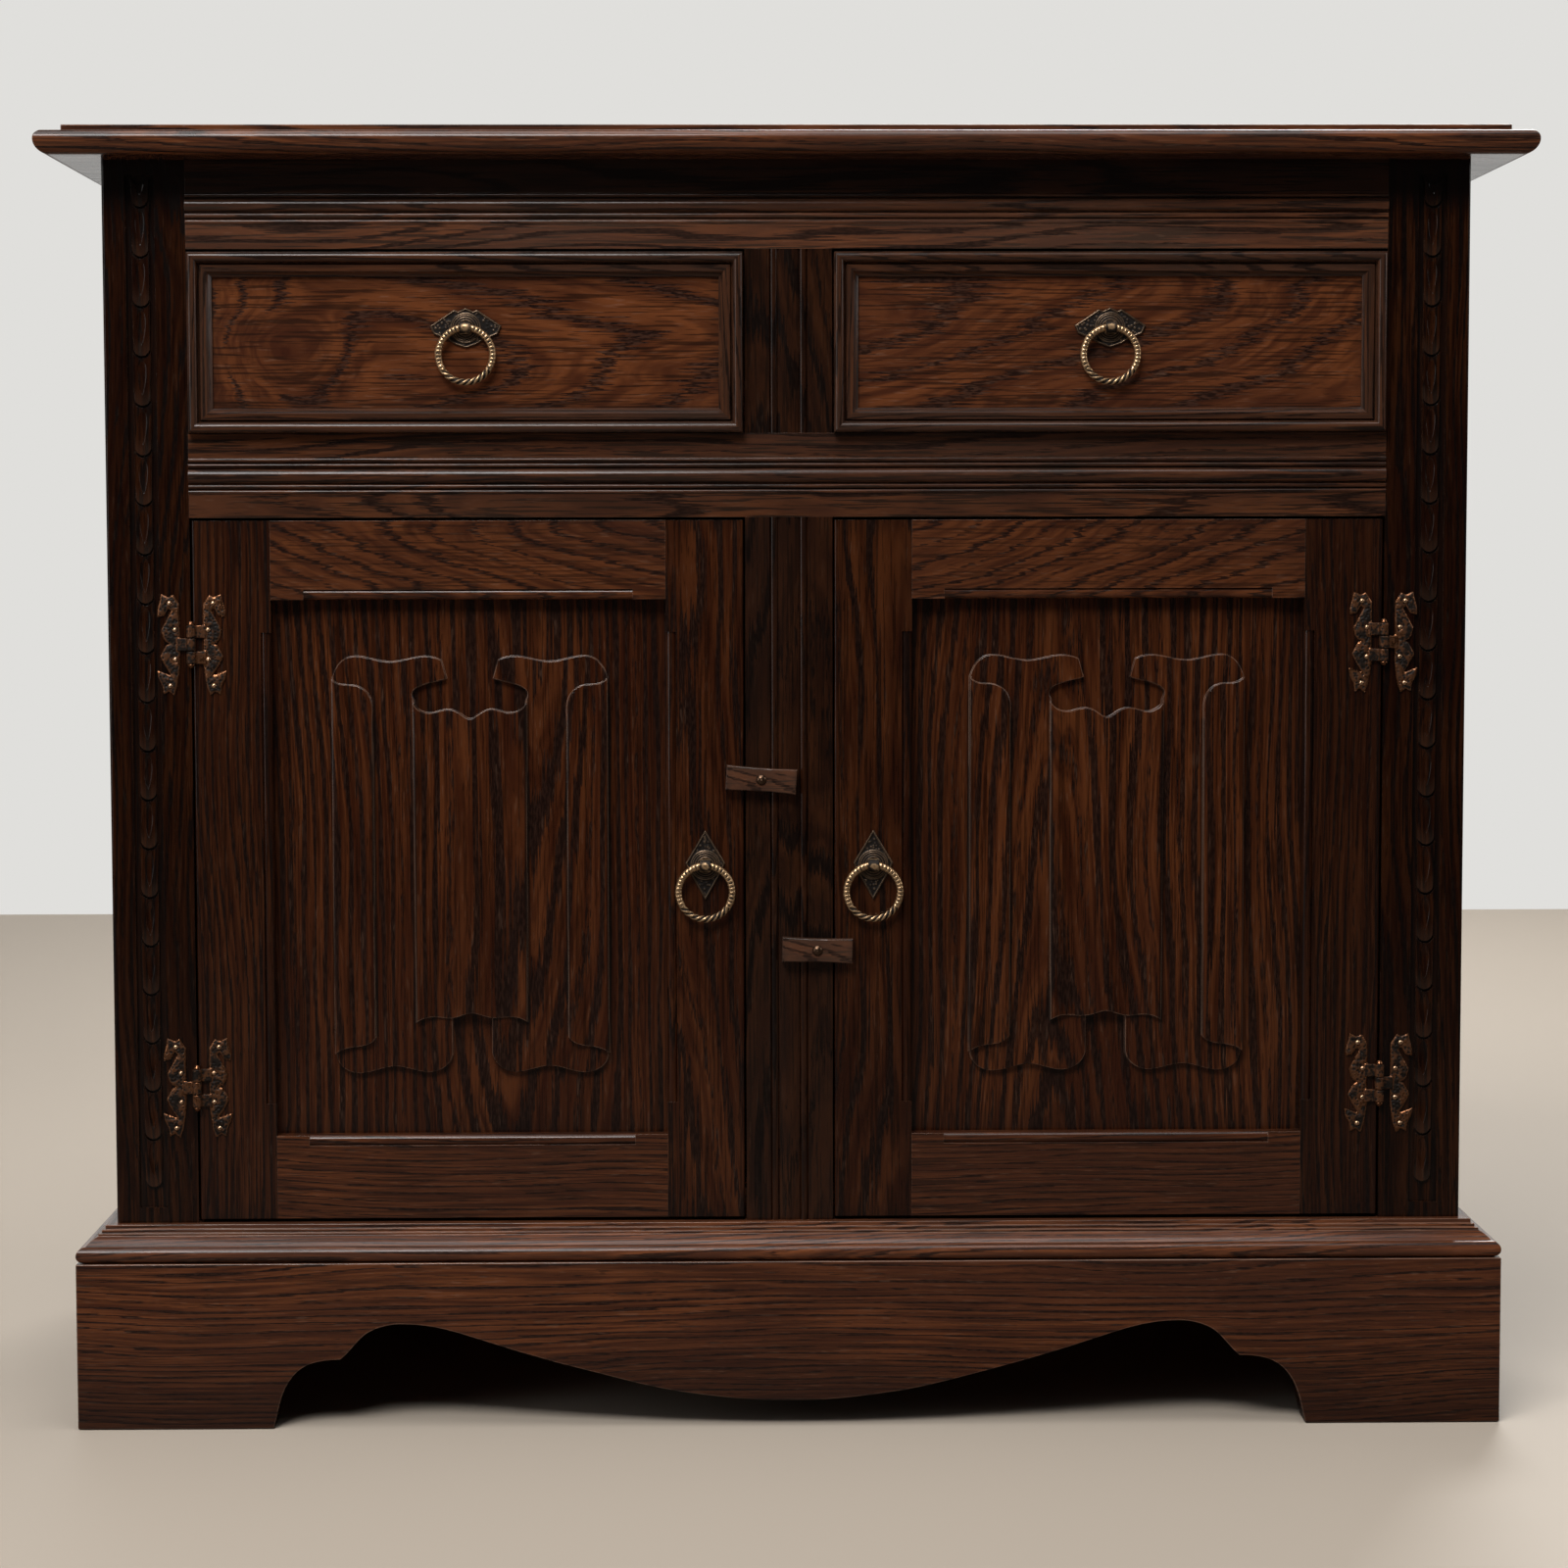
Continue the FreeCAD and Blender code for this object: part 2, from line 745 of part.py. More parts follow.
tee_foot_shares = [(0.99, -0.915), (0.97, -0.82)]


def fold_points(shares, side=1):
    """Points on the fold, given as shares of its half width and half height."""
    return scaled([(side * a, b) for a, b in shares], fold_half_width, fold_half_height,
                  (panel_middle_x, fold_middle_z))


def fold_relief(points):
    """A run of upright rolls, from a cross section of X and relief."""
    ground = face + panel_ground_recess
    embedded = ground + panel_thickness / 2
    low = fold_middle_z - fold_half_height - over
    top = [(panel_middle_x + across * fold_half_width, ground - up * fold_high_relief)
           for across, up in points]
    first = (top[0][0], embedded)
    moves = [[top[0]], top[1:], [(top[-1][0], embedded)], [first]]
    return outline(first, moves, from_above(low)).extrude(Vector(0, 0, 2 * (fold_half_height + over)))


def fold_plate(moves, start, relief):
    """A flat fold with a curved outline, standing on the panel's ground."""
    ground = face + panel_ground_recess
    depth = relief + panel_thickness / 2
    return outline(start, moves, from_front(ground - relief)).extrude(Vector(0, depth, 0))


def centre_fold():
    """The middle fold, with a sharp ridge down it and a cusp at both ends."""
    left_top, left_bottom = fold_points(centre_corner_shares, -1)
    right_top, right_bottom = fold_points(centre_corner_shares)
    top = fold_points(centre_top_shares, -1) + fold_points(centre_top_shares)[-2::-1] + [right_top]
    bottom = fold_points(centre_bottom_shares) + fold_points(centre_bottom_shares, -1)[-2::-1]
    plate = fold_plate([top, [right_bottom], bottom + [left_bottom], [left_top]], left_top,
                       fold_high_relief + over)
    half = fold_ridge_shares
    return plate.common(fold_relief([(-across, up) for across, up in half[:0:-1]] + half))


def outer_fold(side):
    start, inner_top, inner_bottom = fold_points(strip_corner_shares, side)
    top = fold_points(strip_top_shares, side)
    bottom = fold_points(strip_bottom_shares, side)
    moves = [top + [inner_top], [inner_bottom], bottom, [start]]
    rolls = [(side * across, up) for across, up in fold_strip_shares]
    return fold_plate(moves, start, fold_high_relief + over).common(fold_relief(rolls))


def tee_fold(side):
    """The fold that lies under the others and shows as a wing above and below them."""
    start, wing = fold_points([tee_start_share, tee_wing_share], side)
    top = fold_points(tee_top_shares, side)
    inner = fold_points(tee_inner_shares, side)
    corners = [[corner] for corner in fold_points(tee_corner_shares, side)]
    bottom = fold_points(tee_bottom_shares[::-1], side)
    foot, edge = fold_points(tee_foot_shares, side)
    moves = [[wing], top, [inner[0]], inner[1:]] + corners + [bottom + [foot], [edge], [start]]
    return fold_plate(moves, start, fold_low_relief)


def door_panel():
    ground = face + panel_ground_recess
    board = box((panel_left - panel_groove_depth, panel_right + panel_groove_depth),
                (ground, ground + panel_thickness),
                (panel_low - panel_groove_depth, panel_high + panel_groove_depth))
    folds = [tee_fold(-1), tee_fold(1), centre_fold(), outer_fold(-1), outer_fold(1)]
    return joined([board] + folds)


# Hinges, modelled on the left
hinge_axis_x = -opening_half + door_side_gap / 2
hinge_axis_y = face - hinge_barrel_radius - hinge_face_gap
hinge_levels = (door_low + lower_hinge_up, door_high - upper_hinge_down)
seahorse_shares = [
    (0.33, 0.36), (0.33, 0.79), (0.51, 0.98), (0.64, 0.93), (0.86, 1.0), (0.88, 0.89), (0.97, 0.66),
    (0.96, 0.54), (0.77, 0.57), (0.64, 0.72), (0.57, 0.66), (0.77, 0.41), (0.87, 0.28), (0.81, 0.13),
    (0.73, 0.05), (0.60, 0.02), (0.73, -0.01), (0.90, -0.23), (0.81, -0.36), (0.59, -0.61),
    (0.77, -0.56), (1.0, -0.50), (0.95, -0.67), (0.84, -0.82), (0.81, -0.98), (0.66, -0.92),
    (0.51, -1.0), (0.42, -0.82), (0.37, -0.62), (0.33, -0.38)]
nail_shares = [(0.47, 0.29), (0.47, -0.29), (0.62, 0.81), (0.62, -0.81)]


def barrel_spans(level):
    """The heights of the three barrel sections of a hinge, from the lowest up."""
    half = hinge_barrel_section / 2
    step = hinge_barrel_section + hinge_barrel_gap
    return [(level + index * step - half, level + index * step + half) for index in (-1, 0, 1)]


def barrel(span, side):
    """A barrel section and the tongue that joins it to its leaf."""
    centre = Vector(hinge_axis_x, hinge_axis_y, span[0])
    height = span[1] - span[0]
    outer = rod(centre, Vector(0, 0, 1), hinge_barrel_radius, height)
    reach = hinge_reach * seahorse_shares[0][0] + hinge_leaf_thickness
    tongue = box((hinge_axis_x, hinge_axis_x + side * reach),
                 (face - hinge_face_gap - hinge_tongue_thickness, face - hinge_face_gap), span)
    bore = rod(centre - Vector(0, 0, over), Vector(0, 0, 1), hinge_pin_radius + hinge_pin_clearance,
               height + 2 * over)
    return joined([outer, tongue]).cut(bore)


def hinge_leaf(level, side, spans):
    """A leaf shaped like two seahorses, one over the other, with its barrel sections."""
    points = scaled([(side * a, b) for a, b in seahorse_shares], hinge_reach, hinge_half_height,
                    (hinge_axis_x, level))
    plate = polygon(points, from_front(face - hinge_leaf_thickness))
    plate = plate.extrude(Vector(0, hinge_leaf_thickness, 0))
    return joined([plate] + [barrel(span, side) for span in spans])


def nails_of_leaf(level, side):
    places = scaled([(side * a, b) for a, b in nail_shares], hinge_reach, hinge_half_height,
                    (hinge_axis_x, level))
    return [domed_nail(x, z) for x, z in places]


def domed_nail(x, z):
    return domed_pin(Vector(x, face - hinge_leaf_thickness, z), nail_head_radius, nail_head_height,
                     nail_shank_radius, nail_length)


def domed_pin(seat, head_radius, head_height, shank_radius, length):
    """A turned pin: a domed head in front of its seat, and a shank behind it."""
    ball_radius = (head_radius ** 2 + head_height ** 2) / (2 * head_height)
    half_angle = math.asin(head_radius / ball_radius) / 2
    ball_centre = ball_radius - head_height
    middle = (ball_radius * math.sin(half_angle), ball_centre - ball_radius * math.cos(half_angle))
    moves = [
        [middle, (head_radius, 0)],
        [(shank_radius, 0)],
        [(shank_radius, length)],
        [(0, length)],
        [(0, -head_height)],
    ]
    section = outline((0, -head_height), moves, from_above(0))
    pin = section.revolve(Vector(0, 0, 0), Vector(0, 1, 0), 360)
    pin.translate(seat)
    return pin


def hinge_pin(level):
    spans = barrel_spans(level)
    low, high = spans[0][0], spans[-1][1]
    axis = Vector(hinge_axis_x, hinge_axis_y, low - hinge_barrel_gap)
    shaft = rod(axis, Vector(0, 0, 1), hinge_pin_radius, high - low + 2 * hinge_barrel_gap)
    heads = [
        Part.makeCone(hinge_pin_head_radius / 2, hinge_pin_head_radius, hinge_pin_head_height,
                      Vector(axis.x, axis.y, low - hinge_barrel_gap - hinge_pin_head_height)),
        Part.makeCone(hinge_pin_head_radius, hinge_pin_head_radius / 2, hinge_pin_head_height,
                      Vector(axis.x, axis.y, high + hinge_barrel_gap)),
    ]
    return joined([shaft] + heads)


# Ring pulls
drawer_plate_shares = [
    (0.0, 1.0), (0.21, 0.82), (0.32, 0.91), (1.0, 0.10), (0.90, -0.30), (0.48, -0.62), (0.30, -0.82),
    (0.0, -1.0)]
door_plate_shares = [(0.0, 1.0), (1.0, 0.06), (0.92, -0.06), (0.70, -0.30), (0.0, -1.0)]


def both_sides(shares):
    return shares + [(-a, b) for a, b in reversed(shares) if a > 0]


def pull_plate(x, z, shares, half_across, half_up):
    """A cast plate with concentric rings round its stud."""
    points = scaled(both_sides(shares), half_across, half_up, (x, z))
    plate = polygon(points, from_front(face - pull_plate_thickness))
    plate = plate.extrude(Vector(0, pull_plate_thickness, 0))
    front = face - pull_plate_thickness
    boss = rod(Vector(x, front, z), Vector(0, -1, 0), pull_boss_radius, pull_boss_height / 2)
    inner = rod(Vector(x, front, z), Vector(0, -1, 0), pull_boss_inner_radius, pull_boss_height)
    hole = rod(Vector(x, face + over, z), Vector(0, -1, 0), stud_radius,
               over + pull_plate_thickness + pull_boss_height + over)
    return joined([plate, boss, inner]).cut(hole)


def ring_depth():
    """How far in front of the face the ring's centre line hangs."""
    return pull_plate_thickness + pull_boss_height + ring_plate_gap + ring_tube_radius


def pull_stud(x, z):
    """A stud through the plate, with a rounded eye that holds the ring."""
    eye_centre = Vector(x - eye_width / 2, face - ring_depth(), z)
    eye = rod(eye_centre, Vector(1, 0, 0), eye_radius, eye_width)
    neck_start = Vector(x, face - ring_depth(), z)
    shank = rod(neck_start, Vector(0, 1, 0), stud_radius, ring_depth() + stud_length)
    sag = ring_radius - math.sqrt(ring_radius ** 2 - (eye_width / 2) ** 2)
    hole_radius = ring_tube_radius + sag + ring_hole_clearance
    hole = rod(eye_centre - Vector(over, 0, 0), Vector(1, 0, 0), hole_radius, eye_width + 2 * over)
    clear_front = face - pull_plate_thickness - pull_boss_height
    behind = box((x - eye_width, x + eye_width), (clear_front, face + eye_radius),
                 (z - eye_radius - over, z + eye_radius + over))
    eye = eye.cut(behind)
    return joined([eye, shank]).cut(hole)


def pull_ring(x, z):
    centre = Vector(x, face - ring_depth(), z - ring_radius)
    return Part.makeTorus(ring_radius, ring_tube_radius, centre, Vector(0, 1, 0))


# Drawers, modelled on the right
drawer_inner_x, drawer_outer_x = drawer_edges()
drawer_low = drawer_bottom_level()
drawer_high = frieze_level - drawer_top_gap
drawer_middle_x = (drawer_inner_x + drawer_outer_x) / 2
drawer_back_y = back_inner - drawer_rear_room


def drawer_front():
    depth = (face, face + drawer_front_thickness)
    return box((drawer_inner_x, drawer_outer_x), depth, (drawer_low, drawer_high))


frame_bead_share = 0.42
frame_inner_share = 0.60


def frame_section(length):
    """The planted moulding's section: a half round, a hollow and a smaller second band."""
    proud = drawer_moulding_proud
    wide = drawer_moulding_width
    bead = wide * frame_bead_share
    second = proud * frame_inner_share
    start = (0, 0)
    groove = (face - second * frame_inner_share, -bead - bead_gap)
    moves = [
        [(face - proud * frame_inner_share, 0)],
        [(face - proud, -bead / 2), (face - second, -bead)],
        [groove],
        [(face - second, groove[1] - bead_gap)],
        [(face - second, -wide + bead / 2)],
        [(face - second * frame_inner_share, -wide + bead / 4), (face - bead_gap_depth, -wide)],
        [(face, -wide)],
        [(face, 0)],
    ]
    return outline((face, 0), moves, from_side(-length / 2)).extrude(Vector(length, 0, 0))


def mitred_strip(length):
    """A length of the moulding with its outer edge on Z = 0 and both ends mitred."""
    strip = frame_section(length)
    far = drawer_moulding_width + over
    half = length / 2
    points = [(-half - over, over), (-half + far, -far), (-half - over, -far)]
    wedge = polygon(points, from_front(face - drawer_moulding_proud - over))
    wedge = wedge.extrude(Vector(0, drawer_moulding_proud + 2 * over, 0))
    return cut_by(strip, [wedge, mirrored(wedge)])


def drawer_moulding():
    """Four mitred strips planted round the drawer front."""
    wide = drawer_outer_x - drawer_inner_x
    high = drawer_high - drawer_low
    middle = Vector(drawer_middle_x, 0, (drawer_low + drawer_high) / 2)
    strips = []
    for quarter in range(4):
        length, out = (high, wide / 2) if quarter % 2 else (wide, high / 2)
        strip = mitred_strip(length)
        strip.translate(Vector(0, 0, out))
        strip.rotate(Vector(0, 0, 0), Vector(0, 1, 0), 90 * quarter)
        strip.translate(middle)
        strips.append(strip)
    return strips


def drawer_sides():
    sides = []
    for x in (drawer_inner_x, drawer_outer_x - drawer_side_thickness):
        sides.append(box((x, x + drawer_side_thickness),
                         (face + drawer_front_thickness - drawer_side_lap, drawer_back_y),
                         (drawer_low, drawer_low + drawer_side_height)))
    return sides


def drawer_back():
    low = drawer_low + drawer_floor_up + drawer_floor_thickness
    return box((drawer_inner_x + drawer_side_thickness, drawer_outer_x - drawer_side_thickness),
               (drawer_back_y - drawer_back_thickness, drawer_back_y), (low, drawer_low + drawer_side_height))


def drawer_floor():
    inset = drawer_side_thickness - drawer_groove_depth
    low = drawer_low + drawer_floor_up
    return box((drawer_inner_x + inset, drawer_outer_x - inset),
               (face + drawer_front_thickness - drawer_groove_depth, drawer_back_y),
               (low, low + drawer_floor_thickness))


# Turn buttons
def button_outline(centre, y):
    """A square ended bar, a little waisted."""
    x, z = centre
    half = button_length / 2
    end = button_width / 2
    waist = button_waist / 2
    moves = [
        [(x, z + waist), (x + half, z + end)],
        [(x + half, z - end)],
        [(x, z - waist), (x - half, z - end)],
        [(x - half, z + end)],
    ]
    return outline((x - half, z + end), moves, from_front(y))


def turn_button(x, z, tilt):
    front = face - button_gap - button_thickness
    shape = button_outline((x, z), front).extrude(Vector(0, button_thickness, 0))
    shape = rounded(shape, button_edge_round, lambda middle, edge: middle.y < front + button_gap)
    hole = rod(Vector(x, front - over, z), Vector(0, 1, 0), screw_shank_radius + screw_clearance,
               button_thickness + 2 * over)
    shape = shape.cut(hole)
    shape.rotate(Vector(x, 0, z), Vector(0, 1, 0), tilt)
    return shape


def button_screw(x, z):
    front = face - button_gap - button_thickness - button_gap / 2
    return domed_pin(Vector(x, front, z), screw_head_radius, screw_head_height, screw_shank_radius,
                     screw_length + button_thickness)


def as_group(solids):
    return Part.Compound(solids)


def save(name, shape):
    shape.exportStep(f"parts/{name}.step")
    return name


def build_doors(nodes):
    """Both doors, each with its hinge leaves, nails and ring pull."""
    stiles = door_stiles()
    top_rail = door_rail(panel_high, door_high, panel_high)
    bottom_rail = door_rail(door_low, panel_low, panel_low)
    panel = door_panel()
    leaves = [hinge_leaf(level, 1, barrel_spans(level)[::2]) for level in hinge_levels]
    nails = [nail for level in hinge_levels for nail in nails_of_leaf(level, 1)]
    pull_x = door_lock_x - door_pull_in
    pull_z = door_low + door_pull_up
    plate = pull_plate(pull_x, pull_z, door_plate_shares, door_plate_half_width, door_plate_half_height)
    stud = pull_stud(pull_x, pull_z)
    ring = pull_ring(pull_x, pull_z)
    groove = box((panel_left - panel_groove_depth, panel_right + panel_groove_depth),
                 (face + panel_ground_recess, face + panel_ground_recess + panel_thickness),
                 (panel_low - panel_groove_depth, panel_high + panel_groove_depth))
    stiles = [cut_by(stile, [groove, top_rail, bottom_rail, stud] + nails) for stile in stiles]
    rails = [cut_by(rail, [groove]) for rail in (top_rail, bottom_rail)]
    leaves = [cut_by(leaf, nails) for leaf in leaves]
    made = {
        "stiles": stiles, "rails": rails, "panel": [panel], "hinge_leaves": leaves, "hinge_nails": nails,
        "pull_plate": [plate], "pull_stud": [stud], "pull_ring": [ring]}
    for side, turn in (("left", lambda solid: solid), ("right", mirrored)):
        for name, solids in made.items():
            nodes[f"door_{side}_{name}"] = [turn(solid) for solid in solids]


def build_drawers(nodes):
    """Both drawers, each with its moulding and ring pull."""
    sides = drawer_sides()
    floor = drawer_floor()
    pull_z = drawer_low + drawer_pull_up
    plate = pull_plate(drawer_middle_x, pull_z, drawer_plate_shares, drawer_plate_half_width,
                       drawer_plate_half_height)
    stud = pull_stud(drawer_middle_x, pull_z)
    front = cut_by(drawer_front(), sides + [floor, stud])
    made = {
        "front": [front], "moulding": drawer_moulding(), "sides": [cut_by(side, [floor]) for side in sides],
        "back": [drawer_back()], "floor": [floor], "pull_plate": [plate], "pull_stud": [stud],
        "pull_ring": [pull_ring(drawer_middle_x, pull_z)]}
    for side, turn in (("left", mirrored), ("right", lambda solid: solid)):
        for name, solids in made.items():
            nodes[f"drawer_{side}_{name}"] = [turn(solid) for solid in solids]


def build_carcass(nodes):
    """The fixed frame, its boards, the wooden runners and the post halves of the hinges."""
    frieze = frieze_rail()
    middle = middle_rail()
    drawer_muntin = muntin(drawer_floor_level, frieze_level)
    door_muntin = muntin(base, door_top).cut(box((-muntin_half, muntin_half), (face, back), (0, base)))
    top_side_rail = side_rail(carcass_top - side_top_rail_height, side_top_rail_height)
    bottom_side_rail = side_rail(base, side_bottom_rail_height)
    panel = side_panel()
    back_board = back_panel()
    post = front_post()
    rear = rear_post()
    leaves = [hinge_leaf(level, -1, [barrel_spans(level)[1]]) for level in hinge_levels]
    nails = [nail for level in hinge_levels for nail in nails_of_leaf(level, -1)]
    post = cut_by(post, [frieze, middle, top_side_rail, bottom_side_rail, panel] + nails)
    rear = cut_by(rear, [top_side_rail, bottom_side_rail, panel, back_board])
    rails = [cut_by(rail, [panel]) for rail in (top_side_rail, bottom_side_rail)]
    leaves = [cut_by(leaf, nails) for leaf in leaves]
    pins = [hinge_pin(level) for level in hinge_levels]
    button_places = ((-button_off_centre, base + upper_button_up, upper_button_tilt),
                     (button_off_centre, base + lower_button_up, lower_button_tilt))
    screws = [button_screw(x, z) for x, z, tilt in button_places]
    both = lambda solids: list(solids) + [mirrored(solid) for solid in solids]
    nodes["top_board"] = [top_board()]
    nodes["front_post_left"] = [post]
    nodes["front_post_right"] = [mirrored(post)]
    nodes["rear_posts"] = both([rear])
    nodes["side_panels"] = both([panel])
    nodes["side_rails"] = both(rails)
    nodes["frieze_rail"] = [cut_by(frieze, [drawer_muntin])]
    nodes["middle_rail"] = [cut_by(middle, [drawer_muntin, door_muntin])]
    nodes["drawer_muntin"] = [drawer_muntin]
    nodes["door_muntin"] = [cut_by(door_muntin, screws)]
    nodes["back_panel"] = [back_board]
    nodes["bottom_board"] = [bottom_board()]
    nodes["dust_board"] = [dust_board()]
    nodes["shelf"] = [shelf()]
    nodes["shelf_bearers"] = shelf_bearers()
    nodes["drawer_runners_and_kickers"] = drawer_runners() + drawer_kickers()
    nodes["hinge_post_leaves"] = both(leaves)
    nodes["hinge_post_nails"] = both(nails)
    nodes["hinge_pins"] = both(pins)
    nodes["button_screws"] = screws
    nodes["turn_button_upper"] = [turn_button(*button_places[0])]
    nodes["turn_button_lower"] = [turn_button(*button_places[1])]


def build_plinth(nodes):
    side = plinth_side()
    cap = plinth_moulding_side()
    nodes["plinth_front"] = [plinth_front()]
    nodes["plinth_sides"] = [side, mirrored(side)]
    nodes["plinth_back"] = [plinth_back()]
    nodes["plinth_moulding_front"] = [plinth_moulding_front()]
    nodes["plinth_moulding_sides"] = [cap, mirrored(cap)]
    nodes["corner_blocks"] = corner_blocks()


def main():
    os.makedirs("parts", exist_ok=True)
    nodes = {}
    build_plinth(nodes)
    build_carcass(nodes)
    build_doors(nodes)
    build_drawers(nodes)
    for name, solids in nodes.items():
        shape = solids[0] if len(solids) == 1 else as_group(solids)
        valid = all(solid.isValid() and solid.Volume > 0 and len(solid.Solids) == 1 for solid in solids)
        save(name, shape)
        print(f"{name}: {len(solids)} solids, valid {valid}, {shape.Volume / 1000:.1f} cm3")
    print(f"{len(nodes)} nodes")


main()
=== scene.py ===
# %% [markdown]
# A small oak court cupboard
# The solid model is loaded first, as a frame. Its boards are true in size and place, and nothing
# here moves them. What follows gives them stained oak, soft edges, carving and cast hardware.

# %% Load the frame
import json
import math
import bmesh
import bpy
from mathutils import Euler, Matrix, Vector, noise
from mathutils.kdtree import KDTree

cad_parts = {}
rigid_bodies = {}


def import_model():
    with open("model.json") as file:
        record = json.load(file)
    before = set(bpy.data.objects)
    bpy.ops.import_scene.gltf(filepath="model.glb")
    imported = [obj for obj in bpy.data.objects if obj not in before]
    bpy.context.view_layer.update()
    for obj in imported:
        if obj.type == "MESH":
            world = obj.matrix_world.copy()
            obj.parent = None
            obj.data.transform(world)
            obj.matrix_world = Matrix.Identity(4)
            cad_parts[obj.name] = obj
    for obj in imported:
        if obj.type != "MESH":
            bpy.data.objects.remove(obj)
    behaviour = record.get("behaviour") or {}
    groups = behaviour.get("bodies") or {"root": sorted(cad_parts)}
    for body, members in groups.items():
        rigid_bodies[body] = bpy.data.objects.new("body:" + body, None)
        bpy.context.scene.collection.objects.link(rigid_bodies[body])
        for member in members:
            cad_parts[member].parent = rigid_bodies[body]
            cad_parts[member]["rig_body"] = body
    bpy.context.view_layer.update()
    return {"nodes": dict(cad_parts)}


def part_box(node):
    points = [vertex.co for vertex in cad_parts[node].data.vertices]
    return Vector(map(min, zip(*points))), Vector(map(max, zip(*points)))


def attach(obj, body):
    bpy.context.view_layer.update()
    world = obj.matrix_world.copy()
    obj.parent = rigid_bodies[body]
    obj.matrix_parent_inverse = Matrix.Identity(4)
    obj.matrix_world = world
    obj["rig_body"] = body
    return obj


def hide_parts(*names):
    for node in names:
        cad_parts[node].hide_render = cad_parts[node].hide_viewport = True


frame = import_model()
mm = 0.001

# %% [markdown]
# The camera stands a little left of the middle, two and a half paces away, at the height of the
# drawers, and looks slightly down. A long lens keeps the front nearly square.

# %% Camera
camera_data = bpy.data.cameras.new("camera")
camera_data.sensor_width = 36.0
camera_data.lens = 79.17
camera = bpy.data.objects.new("camera", camera_data)
bpy.context.scene.collection.objects.link(camera)
look_down = 0.0710
look_right = 0.0151
lean = 0.0019
camera.location = (-0.0365, -2.4064, 0.572)
camera.rotation_euler = Euler((math.pi / 2 - look_down, lean, -look_right))
bpy.context.scene.camera = camera
bpy.context.scene.view_settings.view_transform = "Standard"

# %% [markdown]
# Shader sums read best as plain sums. This small class wraps a socket, so that 1 - mask or
# pores * 0.5 adds the Math nodes by itself. Every other node comes from one method, add.

# %% Sockets that can be added and multiplied
class Value:
    """A node's output that takes part in sums as a number does."""

    def __init__(self, finish, socket):
        self.finish = finish
        self.socket = socket

    def maths(self, operation, *values):
        return self.finish.add("Math", {"operation": operation}, dict(enumerate(values)))

    def __add__(self, other):
        return self.maths("ADD", self, other)

    def __sub__(self, other):
        return self.maths("SUBTRACT", self, other)

    def __rsub__(self, other):
        return self.maths("SUBTRACT", other, self)

    def __mul__(self, other):
        return self.maths("MULTIPLY", self, other)

    def __truediv__(self, other):
        return self.maths("DIVIDE", self, other)

    def __pow__(self, other):
        return self.maths("POWER", self, other)

    __radd__ = __add__
    __rmul__ = __mul__

    def size(self):
        return self.maths("ABSOLUTE", self)

    def least(self, other):
        return self.maths("MINIMUM", self, other)

    def most(self, other):
        return self.maths("MAXIMUM", self, other)

    def part(self):
        """What is left of the value after its whole number."""
        return self.maths("FRACT", self)

    def fading(self):
        """1 at 0, and less and less above it."""
        return self.maths("EXPONENT", self * -1.0)

    def ease(self, low, high):
        """From 0 at low to 1 at high, without corners."""
        return self.finish.add("MapRange", {"interpolation_type": "SMOOTHSTEP"},
                               {"Value": self, "From Min": low, "From Max": high}, "Result")


class Finish:
    """A material that is put together node by node."""

    def __init__(self, name):
        self.material = bpy.data.materials.new(name)
        self.material.use_nodes = True
        self.tree = self.material.node_tree
        self.tree.nodes.clear()

    def add(self, kind, settings=None, sockets=None, output=0):
        node = self.tree.nodes.new("ShaderNode" + kind)
        for name, value in (settings or {}).items():
            setattr(node, name, value)
        for name, value in (sockets or {}).items():
            if isinstance(value, Value):
                self.tree.links.new(value.socket, node.inputs[name])
            else:
                node.inputs[name].default_value = value
        return Value(self, node.outputs[output]) if len(node.outputs) else None

    def mix(self, share, first, second, how="MIX"):
        return self.add("Mix", {"data_type": "RGBA", "blend_type": how},
                        {0: share, 6: first, 7: second}, 2)

    def parts(self, vector):
        """The X, Y and Z of a vector."""
        split = self.add("SeparateXYZ", {}, {0: vector})
        return [Value(self, socket) for socket in split.socket.node.outputs]

    def stretch(self, vector, scale):
        return self.add("VectorMath", {"operation": "MULTIPLY"}, {0: vector, 1: scale})

    def noise(self, vector, seed=0.0, detail=1.0, output=0):
        """Soft noise with one grain per unit: output 0 is a number, 1 is three in a colour."""
        sockets = {"Vector": vector, "W": seed, "Scale": 1.0, "Detail": detail}
        return self.add("TexNoise", {"noise_dimensions": "4D"}, sockets, output)

    def end(self, shader):
        self.add("OutputMaterial", {}, {"Surface": shader})
        return self.material


def srgb(red, green, blue, tone=1.0):
    """A colour as it looks on a screen, from 0 to 255, as the shader wants it."""
    shares = [c / 255 for c in (red, green, blue)]
    linear = [c / 12.92 if c <= 0.04045 else ((c + 0.055) / 1.055) ** 2.4 for c in shares]
    return (*[c * tone for c in linear], 1.0)

# %% [markdown]
# The studio is a pale floor and a pale wall. The wall is made to glow only for the camera and
# for reflections, so that it reads as white without any more light on the wood. From behind it
# is clear, so that it never hides the cupboard's back. The floor is darker in reflections than
# in itself, so that no haze lies over the dark wood.

